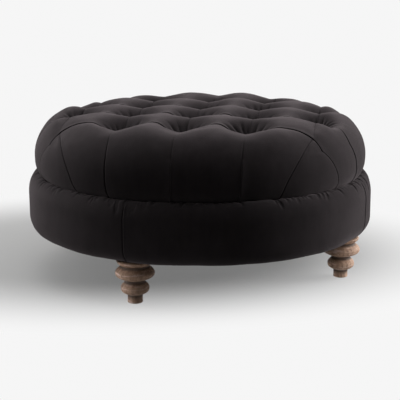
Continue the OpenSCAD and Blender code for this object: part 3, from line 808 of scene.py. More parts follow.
def make_band():
    """The band's cover: a thin shell, gathered at the crease, pleated under the base, with four seams."""
    outer = band_section(0, BAND_POINTS)
    inner = band_section(BAND_CLOTH, BAND_LINING_POINTS)[::-1]
    turn = even_turns(BAND_STEPS)
    for seam in FOOT_TURNS:
        nearest = np.argsort(np.abs(turn_gap(turn, seam)))[:len(SEAM_COLUMNS)]
        nearest = nearest[np.argsort(turn_gap(turn[nearest], seam))]
        turn[nearest] = seam + SEAM_COLUMNS / BAND_R
    steps = np.linalg.norm(np.diff(outer, axis=0), axis=1)
    run = np.concatenate([[0], np.cumsum(steps)])
    from_edge = run[-1] - run
    crest = from_edge[np.argmax(outer[:, 1])]
    puckers = pucker_places()
    under = np.random.default_rng(32)
    pleats = [(place, under.uniform(0.3, 1), under.uniform(1.5, 3) * MM / BASE_R)
              for place in under.uniform(0, 2 * math.pi, UNDER_PLEATS)]
    rings, shades = [], []
    for k, (r, z) in enumerate(outer):
        way = outer[min(k + 1, len(outer) - 1)] - outer[max(k - 1, 0)]
        normal = np.array([way[1], -way[0]]) / np.linalg.norm(way)
        drop = pucker_drop(puckers, turn, from_edge[k] - crest) * ease(*PUCKER_START, from_edge[k])
        # Painted shade in the gathers
        shade = PUCKER_SHADE * np.clip(drop / PUCKER_DEPTH, 0, 1) ** 1.2
        for place, strength, width in pleats:
            fade = (1 - ease(TURN_UNDER, TURN_UNDER + UNDER_PLEAT_FADE, run[k])) * strength
            if fade > 0:
                drop = drop + UNDER_PLEAT_DEPTH * fade * bell(turn_gap(turn, place), width)
        # Each seam: a groove with a lip beside it, and painted shade in the groove
        for seam in FOOT_TURNS:
            off = turn_gap(turn, seam) * r
            seam_line = bell(off, SEAM_WIDTH)
            drop = drop + SEAM_DEPTH * seam_line - SEAM_LIP * bell(off - SEAM_LIP_AWAY, SEAM_LIP_WIDTH)
            shade = np.maximum(shade, SEAM_SHADE * seam_line)
        # Painted shade on the turned-under edge and in the crease
        under_edge = UNDER_SHADE * (1 - ease(*UNDER_SHADE_RUN, run[k]))
        in_crease = BAND_CREASE_SHADE * (1 - ease(0, BAND_CREASE_RUN, from_edge[k]))
        shades.append(np.maximum(shade, max(under_edge, in_crease)))
        ring = ring_points(r, turn, z)
        calm = ease(0, UNDER_CALM, run[k]) * ease(0, CREASE_CALM, from_edge[k])
        drop = np.maximum(drop + calm * uneven(ring, *BAND_ROUGH), -BAND_MOST_OUT)
        rings.append(ring_points(r - normal[0] * drop, turn, z - normal[1] * drop))
    wide = turn[::LINING_COLUMNS]
    lining = np.array([ring_points(r, wide, z) for r, z in inner])
    faces = grid_faces(len(rings), BAND_STEPS)
    start = len(rings) * BAND_STEPS
    faces += grid_faces(len(lining), len(wide), start)
    top, end = (len(rings) - 1) * BAND_STEPS, start + (len(lining) - 1) * len(wide)
    for m in range(len(wide)):
        after = (m + 1) % len(wide)
        across = [(LINING_COLUMNS * m + k) % BAND_STEPS for k in range(LINING_COLUMNS + 1)]
        faces.append([top + k for k in across] + [start + after, start + m])
        faces.append([end + m, end + after] + across[::-1])
    points = np.concatenate([np.concatenate(rings), lining.reshape(-1, 3)])
    made = make_piece("gathered_band_cover", points, faces)
    mark_points(made, "painted_shade", np.concatenate([np.ravel(shades), np.zeros(lining.size // 3)]))
    return made


# The feet

PEG_R = 20 * MM
GLIDE_PROUD, GLIDE_R, GLIDE_T = 1.5 * MM, 15.2 * MM, 4 * MM
BOLT_R, BOLT_IN_FOOT = 4.2 * MM, 42 * MM
FOOT_STEPS = 120
PEG_SHARE, PEG_STEPS, PEG_WAIST = 0.16, 6, 0.35 * MM
TOOL_RIDGE, TOOL_STEP = 0.09 * MM, 1.3 * MM
# A groove is as deep as it lies under the mean of the outline this far up and down
GROOVE_SPAN, GROOVE_FULL = 14 * MM, 5 * MM
# The turned outline between the peg and the top: height as a share of the foot's, and radius in mm
FOOT_OUTLINE = [
    (0.165, 19.8), (0.19, 20.6), (0.215, 24.5), (0.25, 32), (0.30, 36.6), (0.355, 37.5), (0.41, 35.6),
    (0.45, 31), (0.49, 26.6), (0.515, 26), (0.545, 30), (0.575, 38.5), (0.61, 46.5), (0.65, 50.8),
    (0.695, 52), (0.74, 50.4), (0.785, 46), (0.825, 40), (0.85, 37.4), (0.872, 38), (0.9, 42),
    (0.935, 46.5), (0.97, 48.6), (0.99, 47.2), (1.0, 44)]
# Fine grooves cut into the swells: height as a share of the foot's, and depth in mm
CUTS = [(0.668, 1.1), (0.345, 0.5), (0.945, 0.7)]
CUT_WIDTH = 0.9 * MM


def through(points, count):
    """A smooth line through points, with the same number of steps between each two."""
    points = np.array(points, float)
    before = np.concatenate([[2 * points[0] - points[1]], points[:-1]])
    after = np.concatenate([points[1:], [2 * points[-1] - points[-2]]])
    slope = (after - before) / 2
    line = []
    for k in range(len(points) - 1):
        t = np.linspace(0, 1, count, endpoint=False)[:, None]
        line.append((2 * t ** 3 - 3 * t ** 2 + 1) * points[k] + (t ** 3 - 2 * t ** 2 + t) * slope[k]
                    + (3 * t ** 2 - 2 * t ** 3) * points[k + 1] + (t ** 3 - t ** 2) * slope[k + 1])
    return np.concatenate(line + [points[-1:]])


def foot_section():
    """The foot's turned outline, from the edge of its glide up to its top."""
    toe = [[PEG_R - 1.5 * MM, GLIDE_PROUD], [PEG_R - 0.5 * MM, GLIDE_PROUD + 0.4 * MM],
           [PEG_R, 2 * GLIDE_PROUD]]
    peg = [[PEG_R - PEG_WAIST * math.sin(math.pi * k / PEG_STEPS),
            mix(2 * GLIDE_PROUD, PEG_SHARE * FOOT_H, k / PEG_STEPS)] for k in range(1, PEG_STEPS)]
    turned = through(FOOT_OUTLINE, 6)[:, ::-1] * [MM, FOOT_H]
    for height, cut in CUTS:
        turned[:, 0] -= cut * MM * bell(turned[:, 1] - height * FOOT_H, CUT_WIDTH)
    return np.concatenate([toe, peg, turned])


def make_foot(name, number):
    """One turned foot, with the marks of its turning, its glide's seat and its bolt's bore."""
    outline = foot_section()
    seat = np.array([[0, GLIDE_T], [GLIDE_R, GLIDE_T], [GLIDE_R, GLIDE_PROUD]])
    bore = np.array([[BOLT_R, FOOT_H], [BOLT_R, FOOT_H - BOLT_IN_FOOT], [0, FOOT_H - BOLT_IN_FOOT]])
    section = np.concatenate([seat, outline, bore])
    heights = outline[:, 1]
    # How deep each ring lies in a neck or groove: the finish darkens these, partly as stain and partly as
    # painted shade, and keeps wear off them
    around = np.array([np.mean(outline[np.abs(heights - z) < GROOVE_SPAN, 0]) for z in heights])
    groove = np.clip((around - outline[:, 0]) / GROOVE_FULL, 0, 1)
    groove = np.concatenate([np.zeros(len(seat)), groove, np.zeros(len(bore))])
    turn = even_turns(FOOT_STEPS)
    own = np.random.default_rng(70 + number)
    points, groove_of = [], []
    for k, (r, z) in enumerate(section):
        if r == 0:
            points.append([[0, 0, z]])
            groove_of.append([groove[k]])
            continue
        ring = ring_points(r, turn, z)
        if len(seat) <= k < len(seat) + len(outline) - 1:
            ridge = TOOL_RIDGE * math.sin(z / TOOL_STEP) * own.uniform(0.3, 1)
            worn = uneven(ring, (0.03, 0.16, 80 + number)) + ridge
            ring[:, :2] *= (1 + worn / r)[:, None]
        points.append(ring)
        groove_of.append(np.full(FOOT_STEPS, groove[k]))
    points, groove_of = np.concatenate(points), np.concatenate(groove_of)
    last = len(section) - 2
    faces = grid_faces(last, FOOT_STEPS, 1)
    top = 1 + (last - 1) * FOOT_STEPS
    for m in range(FOOT_STEPS):
        after = (m + 1) % FOOT_STEPS
        faces.append([0, 1 + after, 1 + m])
        faces.append([top + m, top + after, len(points) - 1])
    placed = points + [FOOT_CIRCLE_R, 0, 0]
    placed = placed @ np.array(Matrix.Rotation(FOOT_TURNS[number], 3, "Z").transposed())
    made = make_piece(name, placed, faces)
    spin = own.uniform(0, 2 * math.pi)
    grain = points @ np.array(Matrix.Rotation(spin, 3, "Z")) + own.uniform(-0.03, 0.03, 3) * [1, 1, 0]
    mark_points(made, "grain", grain, "FLOAT_VECTOR", "vector")
    mark_points(made, "groove", groove_of)
    return made


# Buttons and staples

BUTTON_H = 9 * MM
STAPLE_R = 441 * MM
STAPLE_COUNT = 92
STAPLE_TURN = 0.12
FOOT_CLEAR = 57 * MM


def new_tree(name, **sizes):
    """A geometry tree with named size inputs; gives those inputs, and the group's own two ends."""
    tree = bpy.data.node_groups.new(name, "GeometryNodeTree")
    tree.interface.new_socket("Geometry", in_out="INPUT", socket_type="NodeSocketGeometry")
    for label, value in sizes.items():
        kind = "NodeSocketInt" if isinstance(value, int) else "NodeSocketFloat"
        socket = tree.interface.new_socket(label.replace("_", " "), in_out="INPUT", socket_type=kind)
        socket.default_value = value
    tree.interface.new_socket("Geometry", in_out="OUTPUT", socket_type="NodeSocketGeometry")
    group_in, group_out = tree.nodes.new("NodeGroupInput"), tree.nodes.new("NodeGroupOutput")
    return tree, group_in.outputs[1:1 + len(sizes)], (group_in.outputs["Geometry"], group_out.inputs[0])


def bake_tree(made, tree):
    """Puts a tree on a piece, with the tree's own sizes, and turns the result into the piece's own mesh."""
    modifier = made.modifiers.new(tree.name, "NODES")
    modifier.node_group = tree
    for item in tree.interface.items_tree:
        if item.in_out == "INPUT" and item.name != "Geometry":
            modifier[item.identifier] = item.default_value
    bpy.context.view_layer.update()
    result = made.evaluated_get(bpy.context.evaluated_depsgraph_get())
    mesh = bpy.data.meshes.new_from_object(result)
    mesh.name = made.name
    made.modifiers.clear()
    made.data = mesh
    return made


def place_instances(tree, ends, shape, finish, seed, spread):
    """Ends a tree: the shape on every point, turned by the point's own angle and a random bit more."""
    angle = add_node(tree, "GeometryNodeInputNamedAttribute", {"Name": "turn"}, data_type="FLOAT")
    limits = {2: -spread, 3: spread, "Seed": seed}
    chance = add_node(tree, "FunctionNodeRandomValue", limits, data_type="FLOAT")
    turned = combine(tree, z=math_node(tree, "ADD", angle.outputs["Attribute"], chance.outputs[1]))
    on_points = add_node(tree, "GeometryNodeInstanceOnPoints",
                         {"Points": ends[0], "Instance": shape, "Rotation": turned})
    real = add_node(tree, "GeometryNodeRealizeInstances", {"Geometry": on_points.outputs[0]})
    smooth = add_node(tree, "GeometryNodeSetShadeSmooth", {"Geometry": real.outputs[0]})
    dressed = add_node(tree, "GeometryNodeSetMaterial", {"Geometry": smooth.outputs[0], "Material": finish})
    tree.links.new(dressed.outputs[0], ends[1])


def make_points(name, places, turns):
    """Loose points for a tree to put things on, each with its own angle."""
    made = make_piece(name, places, [])
    mark_points(made, "turn", turns)
    return made


def make_buttons(finish):
    """Sixteen cloth-covered buttons: low domes whose cloth is gathered round the edge."""
    tree, sizes, ends = new_tree("covered_button", Width=BUTTON_D, Height=BUTTON_H, Gathers=14,
                                 Gather_depth=0.035, Seed=3)
    width, height, gathers, gather_depth, seed = sizes
    ball = add_node(tree, "GeometryNodeMeshUVSphere", {"Segments": 56, "Rings": 28, "Radius": 1.0})
    x, y, z = separate(tree, add_node(tree, "GeometryNodeInputPosition").outputs[0])
    wave = math_node(tree, "COSINE", product(tree, math_node(tree, "ARCTAN2", y, x), gathers))
    low = math_node(tree, "SUBTRACT", 1.0, math_node(tree, "ABSOLUTE", z))
    gather = math_node(tree, "ADD", 0.97, product(tree, wave, low, gather_depth))
    across = product(tree, width, 0.5, gather)
    edge = product(tree, height, 0.25)
    rise = product(tree, math_node(tree, "MAXIMUM", z, 0.0), math_node(tree, "SUBTRACT", height, edge))
    fall = product(tree, math_node(tree, "MINIMUM", product(tree, z, 3.0), 0.0), edge)
    fall = math_node(tree, "MAXIMUM", fall, product(tree, edge, -0.98))
    up = math_node(tree, "ADD", edge, math_node(tree, "ADD", rise, fall))
    spot = combine(tree, product(tree, x, across), product(tree, y, across), up)
    shape = add_node(tree, "GeometryNodeSetPosition", {"Geometry": ball.outputs["Mesh"], "Position": spot})
    place_instances(tree, ends, shape.outputs[0], finish, seed, math.pi)
    places = [(x, y, crown_z(math.hypot(x, y)) - BUTTON_DEPTH) for x, y in map(node_place, BUTTONS)]
    return bake_tree(make_points("covered_buttons", places, [0] * len(places)), tree)


def make_staples(finish):
    """Staples through the dust cover's edge, between the feet."""
    tree, sizes, ends = new_tree("wire_staple", Length=10 * MM, Leg=3.2 * MM, Wire=0.9 * MM, Seed=5)
    length, leg, wire, seed = sizes
    profile = add_node(tree, "GeometryNodeCurvePrimitiveCircle",
                       {"Resolution": 8, "Radius": product(tree, wire, 0.5)}, mode="RADIUS").outputs["Curve"]
    halves = [product(tree, length, 0.5, side) for side in (-1.0, 1.0)]
    left, right = [combine(tree, y=half) for half in halves]
    left_tip, right_tip = [combine(tree, y=half, z=leg) for half in halves]
    joined = add_node(tree, "GeometryNodeJoinGeometry")
    for start, end in ((left, right), (left, left_tip), (right, right_tip)):
        line = add_node(tree, "GeometryNodeCurvePrimitiveLine", {"Start": start, "End": end})
        bar = add_node(tree, "GeometryNodeCurveToMesh",
                       {"Curve": line.outputs["Curve"], "Profile Curve": profile, "Fill Caps": True})
        tree.links.new(bar.outputs["Mesh"], joined.inputs[0])
    place_instances(tree, ends, joined.outputs[0], finish, seed, STAPLE_TURN)
    turns = [t for t in np.linspace(0, 2 * math.pi, STAPLE_COUNT, endpoint=False)
             if all(abs(turn_gap(t, foot)) * FOOT_CIRCLE_R > FOOT_CLEAR for foot in FOOT_TURNS)]
    low = DUST_Z - STAPLE_SINK
    places = [(STAPLE_R * math.cos(t), STAPLE_R * math.sin(t), low) for t in turns]
    return bake_tree(make_points("dust_cover_staples", places, turns), tree)


# Dust cover, foam and wadding

DUST_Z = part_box("dust_cover")[0].z
DUST_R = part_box("dust_cover")[1].x
DUST_THICK = 0.7 * MM
DUST_SAG, DUST_SLACK, DUST_FOLDS = 7 * MM, 0.5 * MM, 46
DUST_MOST_Z = DUST_Z + 0.98 * MM
DUST_HANG, DUST_SLACK_REACH = 0.3 * MM, 20 * MM
STAPLE_SINK = 0.35 * MM
DUST_RINGS = [r * MM for r in (*range(10, 360, 14), *range(360, 441, 8))] + [DUST_R - 3 * MM, DUST_R]
DUST_STEPS = 240
RING_INNER_R = BASE_R - 100 * MM


def make_dust_cover():
    """The thin cloth under the base: stapled at its edge, flat over the ring, a little slack inside it."""
    turn = even_turns(DUST_STEPS)
    top = []
    for r in DUST_RINGS:
        ring = ring_points(r, turn, 0)
        share = r / RING_INNER_R
        inside = 1 - ease(0.15, 1, share)
        radial = np.sin(DUST_FOLDS * turn + 3 * np.sin(3 * turn))
        radial = radial * ease(0.55, 0.95, share) * (1 - ease(1.0, 1.1, share))
        ring[:, 2] = (DUST_Z + DUST_THICK - DUST_SAG * inside
                      + DUST_SLACK * radial * (r < RING_INNER_R + DUST_SLACK_REACH)
                      + uneven(ring, *DUST_ROUGH) * inside - DUST_HANG * (share < 1))
        top.append(np.minimum(ring, [np.inf, np.inf, DUST_MOST_Z]))
    top = np.array(top)
    count = DUST_STEPS
    middle = top[0, :, 2].mean()
    points = np.concatenate([top.reshape(-1, 3), (top - [0, 0, DUST_THICK]).reshape(-1, 3),
                             [[0, 0, middle], [0, 0, middle - DUST_THICK]]])
    half = len(top) * count
    faces = grid_faces(len(top), count, flip=True) + grid_faces(len(top), count, half)
    last = half - count
    for m in range(count):
        after = (m + 1) % count
        faces.append([last + m, last + half + m, last + half + after, last + after])
        faces.append([m, after, 2 * half])
        faces.append([half + after, half + m, 2 * half + 1])
    return make_piece("stretched_dust_cover", points, faces)


def soften(name, solid, voxel, depth, size, seed):
    """A soft piece from its solid: one closed skin with rounded edges and bumps of a depth and size."""
    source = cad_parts[solid]
    mesh = source.data.copy()
    made = bpy.data.objects.new(name, mesh)
    bpy.context.scene.collection.objects.link(made)
    mesh.transform(source.matrix_world)
    tidy = bmesh.new()
    tidy.from_mesh(mesh)
    bmesh.ops.remove_doubles(tidy, verts=tidy.verts, dist=1e-5)
    tidy.to_mesh(mesh)
    tidy.free()
    shrink = made.modifiers.new("skin", "REMESH")
    shrink.mode, shrink.voxel_size = "VOXEL", voxel
    round_off = made.modifiers.new("rounding", "SMOOTH")
    round_off.factor, round_off.iterations = 0.5, 4
    bpy.context.view_layer.update()
    mesh = bpy.data.meshes.new_from_object(made.evaluated_get(bpy.context.evaluated_depsgraph_get()))
    made.modifiers.clear()
    mesh.name = name
    made.data = mesh
    count = len(mesh.vertices)
    points, normals = np.zeros(count * 3), np.zeros(count * 3)
    mesh.vertices.foreach_get("co", points)
    mesh.vertex_normals.foreach_get("vector", normals)
    points, normals = points.reshape(-1, 3), normals.reshape(-1, 3)
    bumps = np.minimum(smooth_noise(points, size, seed), 0.5) - 0.5
    points += normals * (depth * bumps)[:, None]
    mesh.vertices.foreach_set("co", points.ravel())
    mesh.polygons.foreach_set("use_smooth", [True] * len(mesh.polygons))
    mesh.update()
    return made


PADDING_CLEAR = 1 * MM
PADDING_POINTS = (3, 9, 14, 12)


def make_padding():
    """The wadding round the frame, softened and kept clear of the band's cloth and its deepest folds."""
    made = soften("soft_band_padding", "band_padding", voxel=4 * MM, depth=1.4 * MM, size=0.03, seed=52)
    limit = band_section(BAND_CLOTH + PUCKER_DEPTH + PADDING_CLEAR, PADDING_POINTS)
    peak = int(np.argmax(limit[:, 1]))
    for point in made.data.vertices:
        r = math.hypot(point.co.x, point.co.y)
        point.co.z = min(point.co.z, limit[peak, 1])
        if r > limit[peak, 0]:
            share = min(1, np.interp(point.co.z, limit[:peak + 1, 1], limit[:peak + 1, 0]) / r)
            point.co.x, point.co.y = point.co.x * share, point.co.y * share
        else:
            inner = limit[:peak - 1:-1]
            point.co.z = min(point.co.z, np.interp(r, inner[:, 0], inner[:, 1]))
    return made


# Finishes

WHITE = (1, 1, 1)


def new_finish(name):
    """An empty material: its tree and its surface shader."""
    finish = bpy.data.materials.new(name)
    finish.use_nodes = True
    tree = finish.node_tree
    return finish, tree, tree.nodes["Principled BSDF"]


def ramp(tree, factor, *stops):
    """Colours along a factor, each stop a place from 0 to 1 and its colour."""
    made = add_node(tree, "ShaderNodeValToRGB", {"Fac": factor})
    band = made.color_ramp
    while len(band.elements) < len(stops):
        band.elements.new(0.5)
    for element, (place, colour) in zip(band.elements, stops):
        element.position = place
        element.color = (*colour, 1)
    return made.outputs["Color"]


def stretch(tree, place, scale):
    """Coordinates scaled along each axis: a pattern runs long where the scale is small."""
    return add_node(tree, "ShaderNodeMapping", {"Vector": place, "Scale": scale}).outputs["Vector"]


def object_place(tree, scale=(1, 1, 1)):
    return stretch(tree, add_node(tree, "ShaderNodeTexCoord").outputs["Object"], scale)


def noise(tree, place, scale, detail=3, roughness=0.5):
    inputs = {"Vector": place, "Scale": scale, "Detail": detail, "Roughness": roughness}
    return add_node(tree, "ShaderNodeTexNoise", inputs).outputs["Fac"]


def waves(tree, place, scale, distortion, way, detail=2, detail_scale=1.0, profile="SIN"):
    """Bands that follow each other along an axis, bent by noise."""
    inputs = {"Vector": place, "Scale": scale, "Distortion": distortion, "Detail": detail,
              "Detail Scale": detail_scale}
    return add_node(tree, "ShaderNodeTexWave", inputs, wave_type="BANDS", bands_direction=way,
                    wave_profile=profile).outputs["Fac"]


def cells(tree, place, scale):
    return add_node(tree, "ShaderNodeTexVoronoi", {"Vector": place, "Scale": scale}).outputs


def marked(tree, name):
    """What a piece's mesh says of itself under a name, as a number and as a vector."""
    made = add_node(tree, "ShaderNodeAttribute", attribute_name=name)
    return made.outputs["Fac"], made.outputs["Vector"]


def between(tree, value, low, high):
    """A share from 0 to 1 brought to a range."""
    inputs = {"Value": value, "To Min": low, "To Max": high}
    return add_node(tree, "ShaderNodeMapRange", inputs).outputs["Result"]


def add_bump(tree, shader, height, strength, distance, normal=None):
    """Lays relief on a surface, on top of an earlier one if given."""
    inputs = {"Height": height, "Strength": strength, "Distance": distance}
    if normal:
        inputs["Normal"] = normal
    bump = add_node(tree, "ShaderNodeBump", inputs).outputs["Normal"]
    tree.links.new(bump, shader.inputs["Normal"])
    return bump


def tint(colour, share):
    """A colour made darker or paler by a share."""
    return tuple(min(1, max(0, share * c)) for c in colour)


def mix_colour(a, b, t):
    return tuple(mix(c, d, t) for c, d in zip(a, b))


def colour_math(tree, blend, factor, a, b):
    """Two colours mixed: inputs 6 and 7 are the node's colour inputs, and output 2 its colour."""
    made = add_node(tree, "ShaderNodeMix", {"Factor": factor}, data_type="RGBA", blend_type=blend)
    for key, value in ((6, a), (7, b)):
        set_inputs(tree, made, {key: value if isinstance(value, bpy.types.NodeSocket) else (*value, 1)})
    return made.outputs[2]


def darken(tree, colour, share, pattern, low, dark, high):
    """A share of the colour times a pattern, which goes from dark at low to white at high."""
    return colour_math(tree, "MULTIPLY", share, colour, ramp(tree, pattern, (low, dark), (high, WHITE)))


def velvet(name, shade):
    """Short dense pile: near black seen straight on, paler where the eye skims it, brushed in patches."""
    finish, tree, shader = new_finish(name)
    place = object_place(tree)
    brushed = noise(tree, place, 7, 5, 0.6)
    streaks = noise(tree, object_place(tree, (1, 1, 0.25)), 55, 4, 0.6)
    pile = noise(tree, place, 1500, 2)
    clumps = noise(tree, place, 320, 3)
    colour = ramp(tree, brushed, (0.3, tint(shade, 0.7)), (0.7, tint(shade, 1.35)))
    colour = darken(tree, colour, 1.0, streaks, 0.35, tint(WHITE, 0.82), 0.65)
    colour = darken(tree, colour, 1.0, pile, 0.3, tint(WHITE, 0.7), 0.6)
    # Painted shade: the base colour goes near black in the folds, pits, gathers, seams and crease
    painted_shade_share = product(tree, marked(tree, "painted_shade")[0], 0.93)
    nap = add_bump(tree, shader, math_node(tree, "ADD", pile, clumps), 0.35, 0.0006)
    add_bump(tree, shader, brushed, 0.25, 0.004, nap)
    set_inputs(tree, shader, {
        "Base Color": colour_math(tree, "MIX", painted_shade_share, colour, tint(shade, 0.06)),
        "Roughness": between(tree, brushed, 0.86, 1.0), "Specular IOR Level": 0.04,
        "Sheen Weight": 0.575, "Sheen Roughness": 0.52, "Sheen Tint": (0.25, 0.217, 0.226, 1)})
    return finish


def weathered_oak(name):
    """Turned oak left to weather: dark brown in the grooves, partly stain and partly painted shade, worn pale
    and pinkish on the swells, open pores.
    """
    finish, tree, shader = new_finish(name)
    spot = marked(tree, "grain")[1]
    groove = marked(tree, "groove")[0]
    upright = stretch(tree, spot, (1, 1, 0.12))
    grain = noise(tree, upright, 90, 8, 0.65)
    rings = waves(tree, upright, 26, 5, "X", 4, 2)
    worn = noise(tree, stretch(tree, spot, (1, 1, 7)), 26, 5, 0.55)
    blotch = noise(tree, spot, 30, 4, 0.6)
    pores = noise(tree, upright, 700, 3, 0.6)
    brown = ramp(tree, grain, (0.25, (0.22, 0.125, 0.085)), (0.5, (0.45, 0.29, 0.2)),
                 (0.75, (0.6, 0.42, 0.315)))
    brown = darken(tree, brown, 0.35, rings, 0.2, (0.45, 0.38, 0.32), 0.6)
    bare = ramp(tree, blotch, (0.35, (0.6, 0.41, 0.325)), (0.65, (0.7, 0.53, 0.46)))
    wear = product(tree, ease_node(tree, worn, 0.5, 0.66), math_node(tree, "SUBTRACT", 1.0, groove))
    colour = colour_math(tree, "MIX", wear, brown, bare)
    # Near black in the necks and grooves: partly stain, partly painted shade
    colour = colour_math(tree, "MIX", between(tree, groove, 0.0, 0.97), colour, (0.05, 0.03, 0.02))
    colour = darken(tree, colour, 0.7, pores, 0.36, (0.3, 0.25, 0.2), 0.46)
    relief = add_bump(tree, shader, pores, 0.5, 0.0008)
    relief = add_bump(tree, shader, grain, 0.45, 0.0012, relief)
    add_bump(tree, shader, worn, 0.3, 0.001, relief)
    set_inputs(tree, shader, {"Base Color": colour, "Roughness": between(tree, worn, 0.5, 0.82),
                              "Specular IOR Level": 0.35})
    return finish


def sawn_wood(name, pale, dark, along, plies=0):
    """Planed softwood, or plywood with that many plies to the metre: its grain runs along one axis."""
    finish, tree, shader = new_finish(name)
    run = object_place(tree, tuple(0.06 if axis == along else 1.0 for axis in "XYZ"))
    bend = noise(tree, run, 5, 2)
    rings = waves(tree, run, 26, 7, "DIAGONAL", 3, 1.4)
    fine = noise(tree, run, 420, 5, 0.6)
    colour = ramp(tree, rings, (0.15, pale), (0.75, mix_colour(pale, dark, 0.6)), (0.95, dark))
    colour = darken(tree, colour, 0.4, fine, 0.35, (0.6, 0.52, 0.42), 0.6)
    colour = darken(tree, colour, 0.3, bend, 0.35, (0.75, 0.7, 0.62), 0.65)
    height = fine
    if plies:
        layer = waves(tree, object_place(tree), plies, 0.3, "Z", profile="TRI")
        up = separate(tree, add_node(tree, "ShaderNodeTexCoord").outputs["Normal"])["Z"]
        side = math_node(tree, "SUBTRACT", 1.0, math_node(tree, "ABSOLUTE", up))
        cut = product(tree, side, ease_node(tree, layer, 0.4, 0.6))
        colour = colour_math(tree, "MIX", product(tree, cut, 0.75), colour, tint(dark, 0.6))
        height = math_node(tree, "ADD", fine, cut)
    add_bump(tree, shader, height, 0.3, 0.0006)
    set_inputs(tree, shader, {"Base Color": colour, "Roughness": between(tree, fine, 0.55, 0.8)})
    return finish


def pressed_board(name, colour, fleck, scale):
    """Hardboard, card or fibre: pressed flat, with short fibres and darker flecks."""
    finish, tree, shader = new_finish(name)
    place = object_place(tree)
    fibres = noise(tree, place, scale, 6, 0.75)
    cloud = noise(tree, place, scale / 14, 3)
    specks = cells(tree, place, 0.8 * scale)["Distance"]
    specks = ramp(tree, specks, (0.08, tint(WHITE, 0.6)), (0.16, (0, 0, 0)))
    shades = ramp(tree, fibres, (0.3, tint(colour, 0.75)), (0.7, tint(colour, 1.2)))
    shades = darken(tree, shades, 0.4, cloud, 0.35, tint(WHITE, 0.75), 0.65)
    add_bump(tree, shader, fibres, 0.25, 0.0004)
    set_inputs(tree, shader, {"Base Color": colour_math(tree, "MIX", specks, shades, fleck),
                              "Roughness": between(tree, cloud, 0.6, 0.85)})
    return finish


def zinc_plate(name):
    """Zinc-plated steel: pale grey with a faint bloom, small crystals and fine scratches."""
    finish, tree, shader = new_finish(name)
    place = object_place(tree)
    bloom = noise(tree, place, 120, 4, 0.6)
    grey = add_node(tree, "ShaderNodeRGBToBW", {0: cells(tree, place, 900)["Color"]}).outputs[0]
    colour = ramp(tree, bloom, (0.3, (0.5, 0.5, 0.49)), (0.7, (0.72, 0.72, 0.7)))
    scratches = noise(tree, object_place(tree, (1, 1, 14)), 300, 3)
    add_bump(tree, shader, scratches, 0.12, 0.0002)
    set_inputs(tree, shader, {"Base Color": darken(tree, colour, 0.25, grey, 0.2, (0.6, 0.6, 0.62), 0.8),
                              "Roughness": between(tree, bloom, 0.28, 0.5), "Metallic": 1})
    return finish


def moulded_nylon(name):
    """Nylon glides: off-white, softly glossy, scuffed where they slide on the floor."""
    finish, tree, shader = new_finish(name)
    scuff = noise(tree, object_place(tree, (1, 6, 1)), 160, 5, 0.7)
    skin = noise(tree, object_place(tree), 1100, 2)
    add_bump(tree, shader, math_node(tree, "ADD", skin, scuff), 0.12, 0.0003)
    set_inputs(tree, shader, {
        "Base Color": ramp(tree, scuff, (0.4, (0.42, 0.4, 0.36)), (0.56, (0.72, 0.7, 0.65))),
        "Roughness": between(tree, scuff, 0.6, 0.35), "Subsurface Weight": 0.05})
    return finish


def waxed_twine(name):
    """Twine: laid strands that turn round the cord, darkened by wax."""
    finish, tree, shader = new_finish(name)
    place = object_place(tree)
    lay = waves(tree, place, 160, 1.5, "DIAGONAL")
    hairs = noise(tree, place, 900, 3)
    colour = ramp(tree, lay, (0.1, (0.34, 0.28, 0.2)), (0.7, (0.74, 0.68, 0.54)))
    add_bump(tree, shader, math_node(tree, "ADD", lay, hairs), 0.6, 0.0006)
    set_inputs(tree, shader, {"Base Color": darken(tree, colour, 0.3, hairs, 0.3, tint(WHITE, 0.6), 0.6),
                              "Roughness": 0.62})
    return finish


def cut_foam(name):
    """Upholstery foam: open cells, cream, yellowed in patches."""
    finish, tree, shader = new_finish(name)
    place = object_place(tree)
    pits = cells(tree, place, 620)["Distance"]
    colour = ramp(tree, noise(tree, place, 9, 4), (0.3, (0.8, 0.68, 0.4)), (0.7, (0.87, 0.81, 0.6)))
    add_bump(tree, shader, pits, 0.5, 0.0009)
    set_inputs(tree, shader, {"Base Color": darken(tree, colour, 0.5, pits, 0.1, (0.55, 0.5, 0.4), 0.35),
                              "Roughness": 0.95, "Specular IOR Level": 0.2})
    return finish


def fibre_wadding(name):
    """Wadding: white matted fibres in a soft, uneven web."""
    finish, tree, shader = new_finish(name)
    web = noise(tree, object_place(tree, (1, 1, 0.4)), 210, 8, 0.78)
    cloud = noise(tree, object_place(tree), 16, 4)
    colour = ramp(tree, web, (0.35, (0.66, 0.64, 0.58)), (0.6, (0.88, 0.86, 0.81)))
    add_bump(tree, shader, web, 0.7, 0.002)
    set_inputs(tree, shader, {"Base Color": darken(tree, colour, 0.3, cloud, 0.3, (0.82, 0.8, 0.74), 0.7),
                              "Roughness": 1, "Specular IOR Level": 0.15})
    return finish


def bonded_lining(name):
    """The dust cover's thin black cloth: bonded fibres with a fine dimpled grid."""
    finish, tree, shader = new_finish(name)
    place = object_place(tree)
    fibres = noise(tree, place, 700, 4, 0.7)
    dimples = product(tree, *(waves(tree, place, 95, 0.4, way) for way in "XY"))
    dust = product(tree, ease_node(tree, noise(tree, place, 5, 5, 0.65), 0.45, 0.75), 0.5)
    colour = ramp(tree, fibres, (0.3, (0.012, 0.012, 0.013)), (0.7, (0.04, 0.04, 0.042)))
    add_bump(tree, shader, math_node(tree, "ADD", dimples, fibres), 0.4, 0.0005)
    set_inputs(tree, shader, {"Base Color": colour_math(tree, "ADD", dust, colour, (0.03, 0.028, 0.025)),
                              "Roughness": 0.85, "Specular IOR Level": 0.25})
    return finish


# Light, floor and camera

